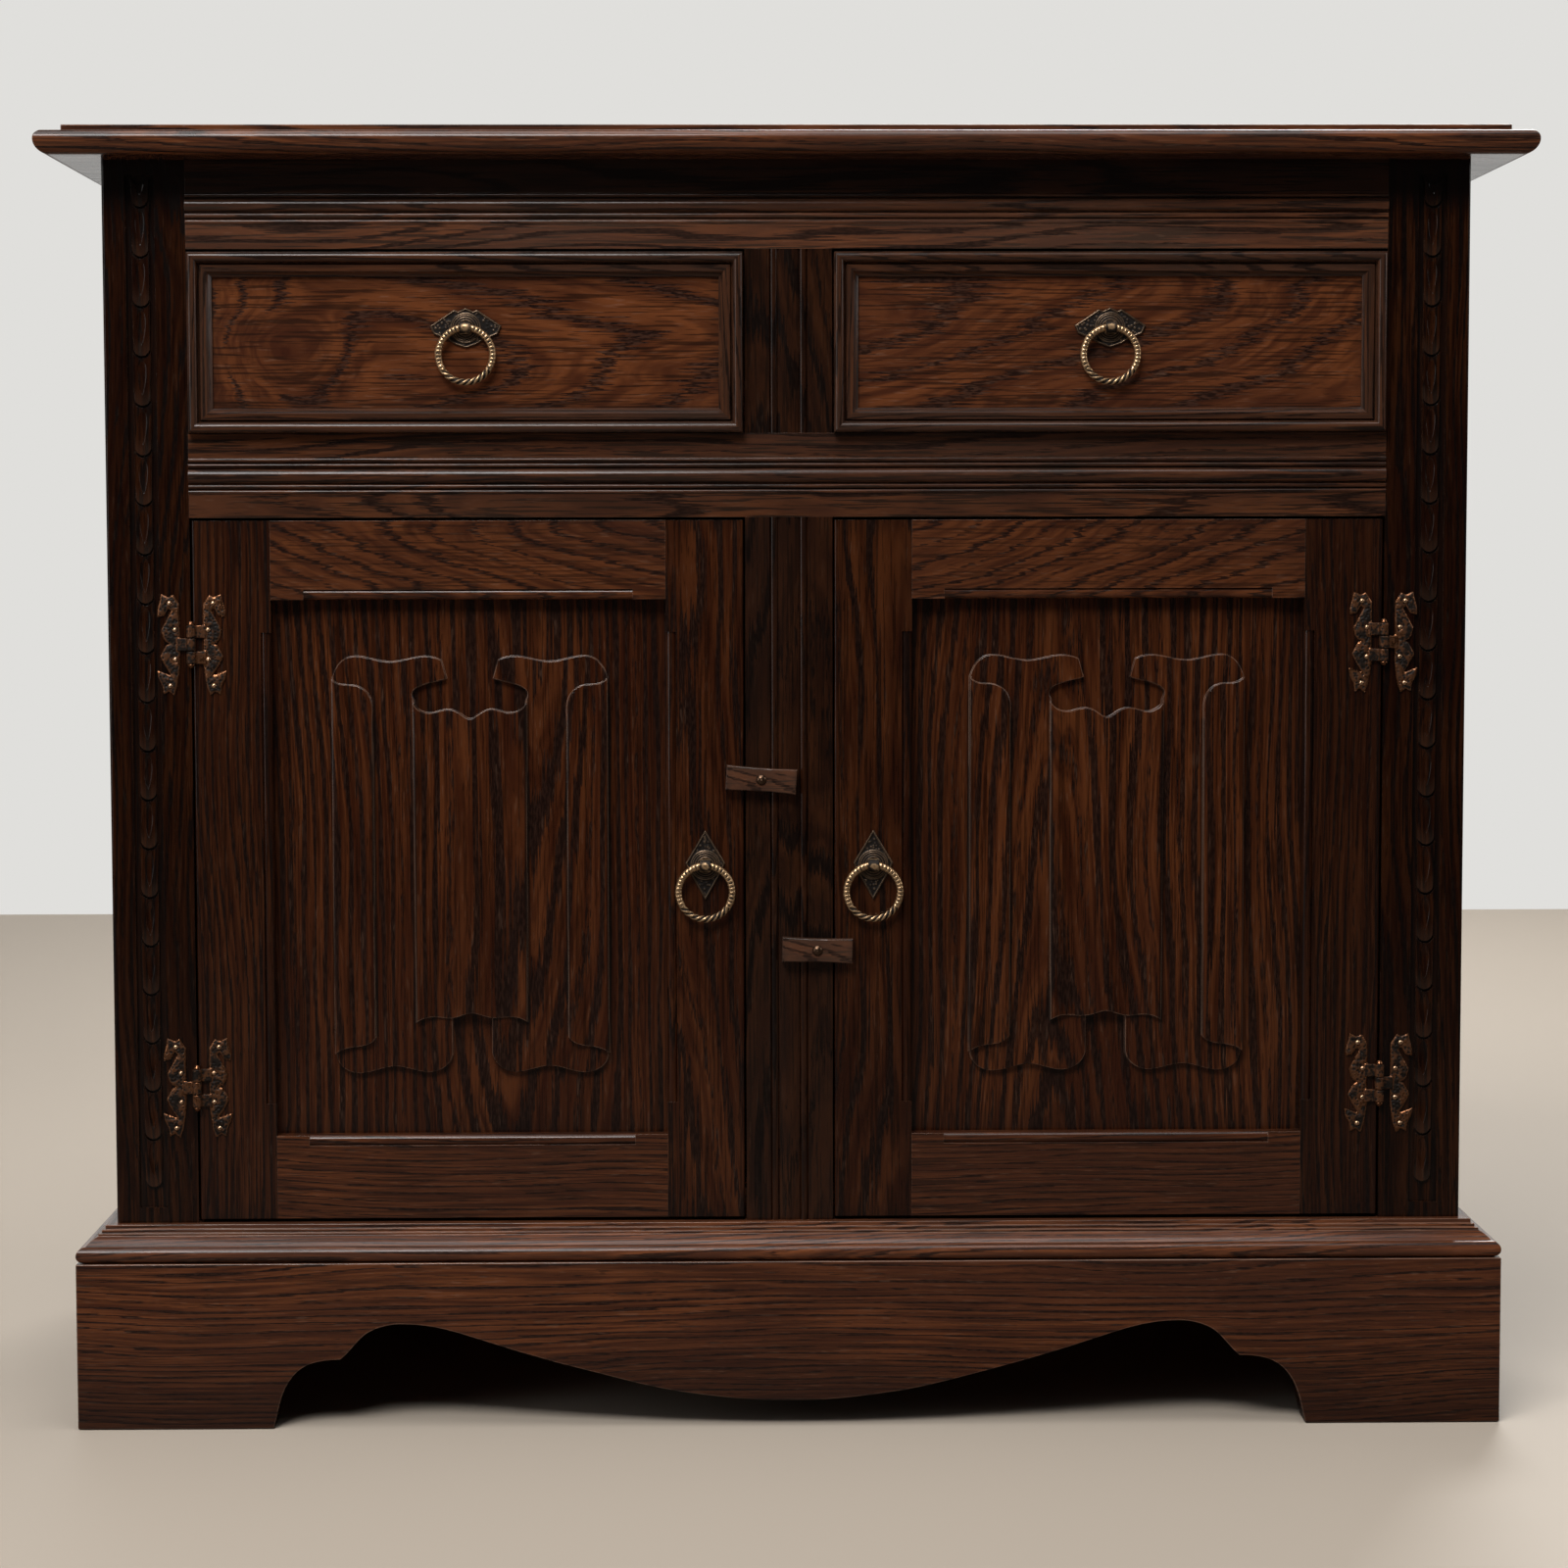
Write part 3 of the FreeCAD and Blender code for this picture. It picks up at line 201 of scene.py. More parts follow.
# %% Floor and wall
def pale(name, colour, glow):
    finish = Finish(name)
    place = finish.add("TexCoord", {}, {}, "Object")
    cloud = finish.noise(finish.stretch(place, (1.3, 1.3, 1.3)), 4.0, 2.0)
    tint = finish.mix(cloud * 0.25, colour, tuple(c * 0.9 for c in colour[:3]) + (1.0,))
    mirrored = finish.add("LightPath", {}, {}, "Is Glossy Ray")
    tint = finish.mix(mirrored * 0.8, tint, (0.0, 0.0, 0.0, 1.0))
    matt = finish.add("BsdfPrincipled", {}, {"Base Color": tint, "Roughness": 0.6})
    if not glow:
        return finish.end(matt)
    shine = finish.add("Emission", {}, {"Color": colour, "Strength": glow})
    rays = [finish.add("LightPath", {}, {}, ray)
            for ray in ("Is Camera Ray", "Is Glossy Ray", "Is Transmission Ray")]
    seen = rays[0].most(rays[1]).most(rays[2])
    front = finish.add("MixShader", {}, {0: seen, 1: matt, 2: shine})
    behind = finish.add("NewGeometry", {}, {}, "Backfacing")
    clear = finish.add("BsdfTransparent")
    return finish.end(finish.add("MixShader", {}, {0: behind, 1: front, 2: clear}))


def sheet(name, corners, material):
    """A flat backdrop through four corners."""
    bm = bmesh.new()
    bm.faces.new([bm.verts.new(corner) for corner in corners])
    mesh = bpy.data.meshes.new(name)
    bm.to_mesh(mesh)
    bm.free()
    piece = bpy.data.objects.new(name, mesh)
    bpy.context.scene.collection.objects.link(piece)
    mesh.materials.append(material)


room_half = 4.0
wall_behind = 2.87
floor_front = -5.0
room_height = 3.2
floor_low = -0.0005
sheet("floor", [(-room_half, floor_front, floor_low), (room_half, floor_front, floor_low),
                (room_half, wall_behind, floor_low), (-room_half, wall_behind, floor_low)],
      pale("pale_floor", srgb(168, 157, 144), 0))
sheet("wall", [(-room_half, wall_behind, floor_low), (room_half, wall_behind, floor_low),
               (room_half, wall_behind, room_height), (-room_half, wall_behind, room_height)],
      pale("white_wall", srgb(224, 223, 220), 1.0))

# %% [markdown]
# One soft lamp hangs high in front, a little to the left, and gives nearly all the light. It
# leaves what lies under an edge dark. A weaker one hangs overhead and draws a pale line along
# every upper round. A third stands low on the left, and draws the upright edges. The last two
# keep the right side and the back from going black. What lies past the floor and the wall is
# as pale as the wall, but hardly lights anything.

# %% Lights
def lamp(name, place, target, width, height, power, colour):
    light = bpy.data.lights.new(name, "AREA")
    light.shape = "RECTANGLE"
    light.size = width
    light.size_y = height
    light.energy = power
    light.color = colour
    holder = bpy.data.objects.new(name, light)
    holder.location = place
    aim = Vector(target) - Vector(place)
    holder.rotation_euler = aim.to_track_quat("-Z", "Y").to_euler()
    bpy.context.scene.collection.objects.link(holder)


lamp("softbox", (-0.8, -2.1, 2.7), (0, -0.1, 0.45), 1.5, 1.0, 98, (1.0, 0.99, 0.98))
lamp("ceiling", (-0.1, -0.6, 2.9), (0, -0.3, 0.0), 2.0, 1.5, 48, (1.0, 0.99, 0.98))
lamp("left_lamp", (-2.2, -1.5, 0.9), (0, -0.1, 0.4), 0.7, 1.4, 9, (1.0, 0.99, 0.98))
lamp("right_lamp", (2.3, -0.5, 1.4), (0.4, 0, 0.4), 0.9, 1.2, 9, (1.0, 0.99, 0.98))
lamp("back_lamp", (0.7, 2.6, 2.5), (0, 0.7, 0.1), 1.6, 1.2, 92, (1.0, 0.99, 0.97))
world = bpy.data.worlds.new("world")
world.use_nodes = True
sky = world.node_tree.nodes["Background"]
sky.inputs["Color"].default_value = srgb(224, 223, 220)
strength = world.node_tree.nodes.new("ShaderNodeMapRange")
strength.inputs["To Min"].default_value = 0.04
strength.inputs["To Max"].default_value = 1.0
path = world.node_tree.nodes.new("ShaderNodeLightPath")
world.node_tree.links.new(path.outputs["Is Camera Ray"], strength.inputs["Value"])
world.node_tree.links.new(strength.outputs["Result"], sky.inputs["Strength"])
bpy.context.scene.world = world

# %% [markdown]
# Oak is built up as it grows. Rings lie round a heart that is somewhere behind the board, and a
# slight slant between heart and board draws the pointed flames of a flat sawn front. Each ring
# starts with a band of open pores, which hold the black stain, and goes on as dense warm wood.
# A wood grain picture would repeat and would stop at the board's edge, so the rings are worked
# out from the place in the board instead, and run on over its edges as real ones do. Where a
# branch stood, the rings swell out round it, and the board shows a knot.

# %% How fine the grain is
grain_turns = {"x": (0, 0, 0), "y": (0, 0, -math.pi / 2), "z": (0, math.pi / 2, 0)}
# Near black, for painted shade and for a darker stain.
shade_and_stain_black = srgb(13, 8, 7)
# Pale grey-brown, for dust and rubbed edges, and for a faint painted highlight on the leaves.
dust_and_highlight = srgb(150, 122, 104)
# Each noise has so many grains a metre: along the board, through it and across it.
bend_grains = (3, 9, 9)
cloud_grains = (4, 13, 13)
zigzag_grains = (7, 55, 55)
fibre_grains = (12, 640, 640)
spike_grains = (14, 820, 820)
line_grains = (20, 700, 700)
dash_grains = (85, 780, 780)
knot_grains = (90, 90, 90)
mesh_grains = (210, 1150, 1150)
# The zigzag shifts a ring by so many mm, and a spike by so much of its width.
zigzag_reach = 6.0
spike_reach = 0.8

# %% Rings
def rings_in(finish, board, heart, slant, ring, seed, sway, width, knot):
    """How far each place is porous early wood, where it lies along its ring, and a knot's core."""
    length, depth, across = finish.parts(board)
    bend = finish.parts(finish.noise(finish.stretch(board, bend_grains), seed, 1.0, 1))
    off_depth = depth - heart[0] + (bend[0] - 0.5) * sway - length * slant
    off_across = across - heart[1] + (bend[1] - 0.5) * sway
    zigzag = finish.noise(finish.stretch(board, zigzag_grains), seed + 9, 1.0)
    radius = (off_depth ** 2.0 + off_across ** 2.0) ** 0.5 + (zigzag - 0.5) * zigzag_reach * mm
    core, clear = 0.0, 1.0
    if knot:
        knot_along, knot_across, knot_size = knot
        away = ((length - knot_along) ** 2.0 + (across - knot_across) ** 2.0 * 1.6) / knot_size ** 2
        radius = radius + away.fading() * knot_size * 0.4
        away = away * (finish.noise(finish.stretch(board, knot_grains), seed, 2.0) * 1.8 + 0.1)
        core = (away * 2.5).fading() * 0.35 + (away * 160.0).fading() * 0.6
        clear = away.ease(0.25, 1.0)
    flow = finish.add("CombineXYZ", {}, {0: length, 1: radius, 2: across * 0.1})
    spikes = finish.noise(finish.stretch(board, spike_grains), seed + 3, 1.0)
    rings = radius / (ring * mm) + (spikes - 0.5) * spike_reach
    strength = finish.add("TexNoise", {"noise_dimensions": "1D"},
                          {"W": rings * 0.57 + seed, "Scale": 1.0, "Detail": 0.0}).ease(0.30, 0.60)
    turn_of_year = rings.part()
    early = turn_of_year.ease(0.0, 0.08) * (1 - turn_of_year.ease(width * 0.6, width))
    return early * (strength * 0.6 + 0.4) * clear, flow, core

# %% [markdown]
# Some places on a board are darker than the rest. A board can darken towards its rim. Shade is
# painted beside each fold of the linenfold, and under the tips of the carved leaves and on their
# channel's ground. These three helpers say where, by the distance to the rim, the fold or the tip.

# %% Darker rims, and painted shade at folds and leaf tips
def rim_darkening(length, across, half, cloud, reach, pair):
    """1 at the board's rim and 0 within. Two like boards in one node lie pair to either side."""
    ends = half[0] - length.size()
    sides = (abs(half[2]) - pair) - (across.size() - pair).size()
    return 1 - (sides.least(ends) + (cloud - 0.5) * 0.02).ease(-2 * mm, reach * mm)


def painted_fold_shadows(finish, colour, length, across, painted_fold_lines):
    """Painted shade in a line at each fold's upright edge: its place across, its middle and half
    length.
    """
    for crease, crease_middle, half_length in painted_fold_lines:
        fold_shade = 1 - (across - crease).size().ease(0.3 * mm, 1.9 * mm)
        off_middle = (length - crease_middle).size()
        fold_shade = fold_shade * (1 - off_middle.ease(half_length - 3 * mm, half_length))
        colour = finish.mix(fold_shade * 0.75, colour, shade_and_stain_black)
    return colour


def painted_chain_shadows(finish, colour, place, chain):
    """Painted shade under each leaf's round tip and on the channel's ground; a faint painted
    highlight low on a leaf.
    """
    middle_x, tip, pitch, leaf_half, channel_half = chain
    side, _, up = finish.parts(place)
    side = (side - middle_x).size()
    round_tip = leaf_half - (leaf_half ** 2 - side.least(leaf_half) ** 2.0) ** 0.5
    phase = ((up - round_tip - tip) / pitch).part()
    inside = 1 - side.ease(leaf_half - 0.6 * mm, leaf_half + 0.2 * mm)
    ground = (1 - inside) * (1 - side.ease(channel_half - 0.5 * mm, channel_half + 0.5 * mm))
    painted_tip_shade = (inside * phase.ease(0.88, 0.99)).most(ground * 0.6)
    painted_leaf_highlight = inside * (1 - phase.ease(0.0, 0.4)) * 0.025
    return finish.mix(painted_tip_shade * 0.85, finish.mix(painted_leaf_highlight, colour, dust_and_highlight), shade_and_stain_black)

# %% [markdown]
# One function stains every board, and each board says how it differs:
# - heart is where the tree's heart lies, behind and beside the board's middle; slant is how the
#   board leans to it, ring a ring's width in mm, sway how far rings wander, and seed the tree.
# - width is the porous share of a ring, band how open its pores are, knot a knot's place and size.
# - tone is how light the stain is, fine the dark fibres, sheen the pale net within the pores, which
#   is partly dust and partly a painted sheen.
# - shade and reach darken the board towards its rim. One more argument darkens along one axis: it
#   paints the shadow under the top and the shade near the floor, and makes a hinge stile darker.
# - wear is the dusty grey of rubbed wood. It spares the pores, which stay black.

# %% Oak
def oak(name, along, box, heart=(0.05, 0.0), slant=0.05, ring=5.0, seed=0.0, tone=1.0,
        sway=0.035, band=1.0, width=0.4, fine=0.55, sheen=0.4, shade=0.0, reach=30.0, pair=0.0,
        knot=None, painted_shade_and_tone=None, wear=0.0, painted_fold_lines=(), chain=None):
    """Stained oak with its grain along one axis of the box that the board fills."""
    finish = Finish(name)
    low, high = box
    turn = Euler(grain_turns[along]).to_matrix()
    middle = turn @ ((low + high) / 2)
    half = turn @ ((high - low) / 2)
    place = finish.add("TexCoord", {}, {}, "Object")
    board = finish.add("Mapping", {}, {"Vector": place, "Location": tuple(-middle),
                                       "Rotation": grain_turns[along]})
    length, _, across = finish.parts(board)
    early, flow, core = rings_in(finish, board, heart, slant, ring, seed, sway, width, knot)
    fibre = finish.noise(finish.stretch(flow, fibre_grains), seed + 2, 2.0).ease(0.32, 0.68)
    dashes = finish.noise(finish.stretch(board, dash_grains), seed + 1, 1.0)
    lines = finish.noise(finish.stretch(board, line_grains), seed + 7, 2.0).ease(0.53, 0.58)
    cloud = finish.noise(finish.stretch(board, cloud_grains), seed + 5, 2.0)
    mesh = finish.noise(finish.stretch(board, mesh_grains), seed + 11, 1.0)
    porous = (early * band + (dashes - 0.5) * 0.9).ease(0.30, 0.50)
    lone = 1 - dashes.ease(0.27, 0.36)
    # Painted glints: pale flecks along the fibres.
    painted_glints = dashes.ease(0.60, 0.70) * fibre
    late = finish.mix(fibre, srgb(66, 31, 15, tone), srgb(106, 58, 30, tone))
    late = finish.mix(cloud.ease(0.38, 0.66) * 0.6 + core, late, srgb(52, 20, 9, tone))
    late = finish.mix(lines * fine, late, srgb(22, 7, 3, tone))
    # The pale net in the pores is partly dust and partly a painted sheen.
    net = finish.mix(mesh.ease(0.44, 0.60) * sheen, srgb(24, 11, 8, tone), srgb(66, 42, 32, tone))
    colour = finish.mix(porous * 0.9, late, net)
    colour = finish.mix(painted_glints * 0.2, colour, srgb(140, 106, 86, tone))
    colour = finish.mix(lone * 0.5, colour, srgb(12, 4, 2, tone))
    if shade:
        rim = rim_darkening(length, across, half, cloud, reach, pair)
        colour = finish.mix(rim * shade, colour, shade_and_stain_black)
    colour = painted_fold_shadows(finish, colour, length, across, painted_fold_lines)
    if chain:
        colour = painted_chain_shadows(finish, colour, place, chain)
    if wear:
        colour = finish.mix(cloud * (wear * 2.0) * (1 - porous * 0.7), colour, dust_and_highlight)
    # Darker along one axis: the painted shadow under the top, the painted shade near the floor, and
    # a hinge stile's darker tone.
    if painted_shade_and_tone:
        axis, clear_at, dark_at, share = painted_shade_and_tone
        dark = finish.parts(place)[axis].ease(clear_at, dark_at) * share
        colour = finish.mix(dark, colour, shade_and_stain_black)
    relief = fibre * 0.2 - porous * 0.4 - lines * 0.4 - lone * 0.3
    bump = finish.add("Bump", {}, {"Height": relief, "Distance": 0.06 * mm, "Strength": 0.5})
    shader = finish.add("BsdfPrincipled", {}, {
        "Base Color": colour, "Roughness": porous * 0.08 + (0.17 + 0.06 * cloud), "Normal": bump,
        "Specular IOR Level": 0.16, "Coat Weight": 0.14, "Coat Roughness": 0.1})
    return finish.end(shader)


# %% [markdown]
# No edge of a real cupboard is knife sharp. Each board that shows is taken as a copy of its
# solid, its loose triangles are merged, and its edges get a small round. The round has a
# finish of its own, a little paler, because hands and dusters rub the stain off edges first.
# A bevel is clamped, so that it stops before it runs into the next edge.

# %% Copies with soft edges
def copy_of(node):
    """The solid's surface as one closed mesh that can be worked on."""
    bm = bmesh.new()
    bm.from_mesh(frame["nodes"][node].data)
    bmesh.ops.remove_doubles(bm, verts=bm.verts, dist=0.002 * mm)
    return bm


def placed(name, bm, finishes, smooth=35.0):
    """A new object from a bmesh, with its finishes and its sharp edges marked."""
    mesh = bpy.data.meshes.new(name)
    bm.to_mesh(mesh)
    bm.free()
    for finish in finishes:
        mesh.materials.append(finish)
    mesh.polygons.foreach_set("use_smooth", [True] * len(mesh.polygons))
    mesh.set_sharp_from_angle(angle=math.radians(smooth))
    piece = bpy.data.objects.new(name, mesh)
    bpy.context.scene.collection.objects.link(piece)
    return piece


def stand_for(piece, slot, *nodes):
    """The piece rides where its nodes ride and is shown in their place."""
    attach(piece, frame["nodes"][nodes[0]]["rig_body"])
    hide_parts(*nodes)
    return piece


def softened(piece, round_off, least_angle=38, clamp=True):
    """Rounds the sharp edges: the round takes the piece's second finish."""
    soft = piece.modifiers.new("soft_edges", "BEVEL")
    soft.width = round_off * mm
    soft.segments = 2
    soft.limit_method = "ANGLE"
    soft.angle_limit = math.radians(least_angle)
    soft.material = 1
    soft.use_clamp_overlap = clamp
    even = piece.modifiers.new("even_faces", "WEIGHTED_NORMAL")
    even.keep_sharp = True
    return piece


def baked(piece):
    """The piece's mesh with its modifiers applied, as a bmesh, and the piece is gone."""
    shown = piece.evaluated_get(bpy.context.evaluated_depsgraph_get())
    mesh = bpy.data.meshes.new_from_object(shown)
    bm = bmesh.new()
    bm.from_mesh(mesh)
    bpy.data.meshes.remove(mesh)
    bpy.data.objects.remove(piece)
    return bm


# %% [markdown]
# Each board is cut from its own part of the tree: the heart lies elsewhere, so the flames lie
# elsewhere too. Long boards have their grain along them. The top board's shadow on what lies under
# it and the shade near the floor are painted in, darker along one axis: the mark names its axis,
# where it starts, where it is full, and its share.

# %% Carcass and plinth boards
# Painted shadow of the top board on what lies under it, and painted shade towards the floor.
painted_top_shadow = (2, 0.776, 0.796, 0.85)
painted_floor_shade = (2, 0.08, 0.0, 0.55)
boards = {
    "top_board": ("x", 0.5, dict(heart=(-0.02, -0.09), seed=1.0, slant=0.02, tone=0.65, wear=0.04)),
    "frieze_rail": ("x", 0.35, dict(heart=(0.05, 0.01), seed=2.0, slant=0.02, ring=4.0, tone=0.66,
                                    fine=0.9, painted_shade_and_tone=painted_top_shadow, wear=0.08)),
    "middle_rail": ("x", 0.5, dict(heart=(0.05, -0.02), seed=3.0, slant=-0.02, ring=4.0, tone=0.4,
                                    fine=0.9, wear=0.04)),
    "drawer_muntin": ("z", 0.35, dict(heart=(0.09, 0.02), seed=4.0, tone=0.15, wear=0.012)),
    "door_muntin": ("z", 0.35, dict(heart=(0.08, -0.02), seed=5.0, tone=0.15, wear=0.012)),
    "plinth_front": ("x", 0.6, dict(heart=(0.06, 0.10), seed=6.0, slant=0.01, ring=3.2, tone=0.68,
                                     band=0.75, fine=0.35, painted_shade_and_tone=painted_floor_shade, wear=0.02)),
    "plinth_sides": ("y", 0.6, dict(heart=(0.5, 0.10), seed=7.0, ring=3.2, tone=0.7)),
    "plinth_back": ("x", 0.6, dict(heart=(-0.06, 0.10), seed=8.0, ring=3.2, tone=0.6)),
    "plinth_moulding_front": ("x", 0.3, dict(heart=(0.06, 0.06), seed=9.0, ring=3.6, tone=0.9,
                                             fine=0.4, wear=0.05)),
    "plinth_moulding_sides": ("y", 0.3, dict(heart=(0.5, 0.06), seed=10.0, ring=3.6, tone=0.9,
                                             fine=0.4, wear=0.05)),
    "rear_posts": ("z", 0.6, dict(heart=(0.1, 0.3), seed=12.0, tone=0.45)),
    "side_rails": ("y", 0.5, dict(heart=(0.5, 0.0), seed=13.0, tone=0.6)),
    "side_panels": ("z", 0.4, dict(heart=(0.06, 0.47), seed=14.0, slant=0.03, tone=0.6)),
}

# %% [markdown]
# A door is two stiles, two rails and a linenfold panel. The rails' grain climbs aslant, the
# panel shows flames, and the lock stile is lighter than the hinge stile. The folds stand out only
# a little, so shade is painted in a line beside each upright fold edge, placed by its share of
# the folds' size.

# %% Door boards
fold_half_width = 88.9 * mm
fold_half_height = 135.3 * mm
# Painted shade lines by the fold edges, as shares of the folds' half width and half height.
painted_fold_shares = [(0.405, 0.0, 0.76), (0.70, -0.05, 0.77), (1.0, -0.005, 0.86)]
painted_fold_places = [(side * place * fold_half_width, up * fold_half_height, reach * fold_half_height)
              for place, up, reach in painted_fold_shares for side in (-1, 1)]
stile_from_middle = 151.5 * mm
for side, sign in (("left", -1), ("right", 1)):
    door = f"door_{side}_"
    boards.update({
        f"{door}stiles": ("z", 0.5, dict(heart=(0.07, 0.13 * sign), seed=20.0 + sign, slant=0.02,
                                         tone=0.38 if sign < 0 else 0.3, shade=0.3, reach=12,
                                         pair=stile_from_middle,
                                         painted_shade_and_tone=(0, 0.12 * sign, 0.26 * sign, 0.3))),
        f"{door}rails": ("x", 0.5, dict(heart=(0.12, 0.26), seed=24.0 + sign, ring=4.5,
                                        slant=0.16 * sign, width=0.3, tone=0.56, wear=0.02)),
        f"{door}panel": ("z", 0.45, dict(heart=(0.035, 0.03 * sign), seed=28.0 + sign * 1.3,
                                         slant=0.05 * sign, ring=7.0, sway=0.055, width=0.55,
                                         tone=0.47, fine=0.5, shade=0.3, reach=40,
                                         painted_fold_lines=painted_fold_places)),
    })
print("fold edges", len(painted_fold_places))

# %% [markdown]
# The drawer fronts are flat sawn and show tall flames. The left one has a knot, too.

# %% Drawer fronts
boards["drawer_left_front"] = ("x", 0.4, dict(
    heart=(0.15, 0.0), seed=30.3, slant=0.09, ring=6.0, width=0.3, tone=0.72, wear=0.02, fine=0.7,
    sheen=0.8, shade=0.65, reach=28, knot=(-0.115, -0.006, 0.045)))
boards["drawer_right_front"] = ("x", 0.4, dict(
    heart=(0.20, 0.045), seed=33.7, slant=0.12, ring=10.0, sway=0.06, width=0.3, tone=0.74,
    wear=0.02, fine=0.7, sheen=0.8, shade=0.55, reach=24))

# %% [markdown]
# Now the boards are made: a copy of the solid, the board's own oak, a rubbed oak for the rounds.
# A panel's folds crowd its points, and a clamped bevel would stop there almost at once. So a
# panel's points are thinned, and its bevel isn't clamped.

# %% Make the boards
def grained(node, along, look, rubbed=0.3):
    """The oak of one board and the same oak rubbed on its edges."""
    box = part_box(node)
    return [oak(node + "_oak", along, box, **look),
            oak(node + "_edge", along, box, **{**look, "wear": rubbed})]


def slot_of(node):
    if node.startswith("door_") and node != "door_muntin":
        return "door_oak"
    if node.startswith("drawer_") and node != "drawer_muntin":
        return "drawer_oak"
    return "stained_oak"


def board_copy(node, thinned=0.002):
    """The solid's copy: points merged within thinned mm, and flat faces' triangles joined."""
    bm = copy_of(node)
    bmesh.ops.remove_doubles(bm, verts=bm.verts, dist=thinned * mm)
    bmesh.ops.dissolve_limit(bm, angle_limit=math.radians(1), verts=bm.verts, edges=bm.edges)
    return bm


edge_rubs = {"panel": 0.2, "muntin": 0.1}
for node, (along, round_off, look) in boards.items():
    carved = node.endswith("_panel")
    rubbed = edge_rubs.get(node.rsplit("_", 1)[-1], 0.3)
    finishes = grained(node, along, look, rubbed)
    board = placed(node + "_board", board_copy(node, thinned=0.3 if carved else 0.002), finishes)
    softened(board, round_off, least_angle=24 if carved else 38, clamp=not carved)
    stand_for(board, slot_of(node), node)
print("boards", len(boards))

# %% [markdown]
# The moulding round a drawer is four strips, mitred at the corners. The upright strips have
# their grain upright, so their faces take a third finish, chosen by which side of the mitre
# the face's middle lies.

# %% Mitred drawer mouldings
for index, side in enumerate(("left", "right")):
    node = f"drawer_{side}_moulding"
    low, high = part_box(node)
    middle, half = (low + high) / 2, (high - low) / 2
    look = dict(heart=(0.05, 0.02), seed=40.0 + index, ring=3.5, tone=0.30, wear=0.05)
    finishes = grained(node, "x", look)
    finishes.append(oak(node + "_upright", "z", (low, high), **look))
    bm = board_copy(node)
    for face in bm.faces:
        centre = face.calc_center_median() - middle
        upright = abs(centre.x) - half.x > abs(centre.z) - half.z
        face.material_index = 2 if upright else 0
    strip = placed(node + "_strips", bm, finishes)
    softened(strip, 0.35)
    stand_for(strip, "drawer_oak", node)

# %% [markdown]
# A front post has a sunk channel, and in it a chain of tongue shaped leaves. A carver hollows
# each leaf with one push of a round gouge, and the cut dies out above the leaf's tip. The cut
# is a long drop, deep at the leaf's foot and narrow below. A Boolean takes it out of the
# post's copy as the gouge does, and its rim is kept sharp so that it catches the light.

# %% Carved posts
leaf_pitch = 31.5
first_leaf_tip = 783.5
leaf_count = 21
leaf_width = 11.5
channel_from_edge = 15.0
channel_width = 18.5
leaf_face_sunk = 0.5
gouge_half_length = 11.0
gouge_half_width = 4.0
gouge_depth = 1.1
gouge_above_tip = 7.0


def gouge_cuts(x, front):
    """The shapes that the gouge takes away, one over another."""
    bm = bmesh.new()
    for index in range(leaf_count):
        tip = first_leaf_tip - index * leaf_pitch
        length = gouge_half_length * (0.6 if index == 0 else 1.0)
        made = bmesh.ops.create_uvsphere(bm, u_segments=24, v_segments=18, radius=1.0)["verts"]
        for v in made:
            taper = 0.72 + 0.28 * v.co.z
            v.co = Vector((v.co.x * gouge_half_width * taper, v.co.y * gouge_depth * taper,
                           v.co.z * length)) * mm
        centre = Vector((x, front, (tip + gouge_above_tip + length) * mm))
        bmesh.ops.translate(bm, verts=made, vec=centre)
    return bm


for index, side in enumerate(("left", "right")):
    node = f"front_post_{side}"
    sign = 2 * index - 1
    low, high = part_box(node)
    outer = max(abs(low.x), abs(high.x)) - (channel_from_edge + channel_width / 2) * mm
    # A post takes the painted shadow under the top, and painted shade at its carved leaves.
    look = dict(heart=(0.07, 0.06 * sign), seed=50.0 + index, slant=0.015, ring=4.0, tone=0.15,
                painted_shade_and_tone=painted_top_shadow, chain=(sign * outer, first_leaf_tip * mm, leaf_pitch * mm,
                                       leaf_width * mm / 2, channel_width * mm / 2))
    finishes = grained(node, "z", look)
    cutter = placed("cuts", gouge_cuts(sign * outer, low.y + leaf_face_sunk * mm), finishes[:1])
    post = placed(node + "_uncut", board_copy(node), finishes)
    softened(post, 0.5)
    cut = post.modifiers.new("gouge", "BOOLEAN")
    cut.operation = "DIFFERENCE"
    cut.solver = "EXACT"
    cut.object = cutter
    carved = baked(post)
    bpy.data.objects.remove(cutter)
    bmesh.ops.triangulate(carved, faces=[face for face in carved.faces if len(face.verts) > 4])
    print(node, "faces after the gouge", len(carved.faces))
    piece = placed(node + "_carved", carved, finishes, smooth=14)
    piece.modifiers.new("even_faces", "WEIGHTED_NORMAL").keep_sharp = True
    stand_for(piece, "stained_oak", node)

# %% [markdown]
# What stays inside the cupboard is the same oak with only a thin stain.

# %% Inner boards
inner = {
    "back_panel": "z", "bottom_board": "x", "dust_board": "x", "shelf": "x", "shelf_bearers": "y",
    "drawer_runners_and_kickers": "y", "corner_blocks": "z",
    "drawer_left_sides": "y", "drawer_left_back": "x", "drawer_left_floor": "x",
    "drawer_right_sides": "y", "drawer_right_back": "x", "drawer_right_floor": "x",
}
for seed, (node, along) in enumerate(inner.items()):
    wood = oak("inner_" + node, along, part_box(node), heart=(0.06, 0.05), seed=60.0 + seed,
               slant=0.02, tone=0.7 if node == "back_panel" else 3.2, band=0.8)
    frame["nodes"][node].material_slots[0].material = wood
print("inner boards", len(inner))

# %% [markdown]
# The hardware is cast and dipped dark, and then rubbed so that the high places shine. One
# finish serves all of it: bare metal where the cast is high and dark patina in its hollows.
# The hollows come from a value that each cast piece carries in its mesh. A piece that carries
# none, such as a nail, is bare but for the cloudy patina.

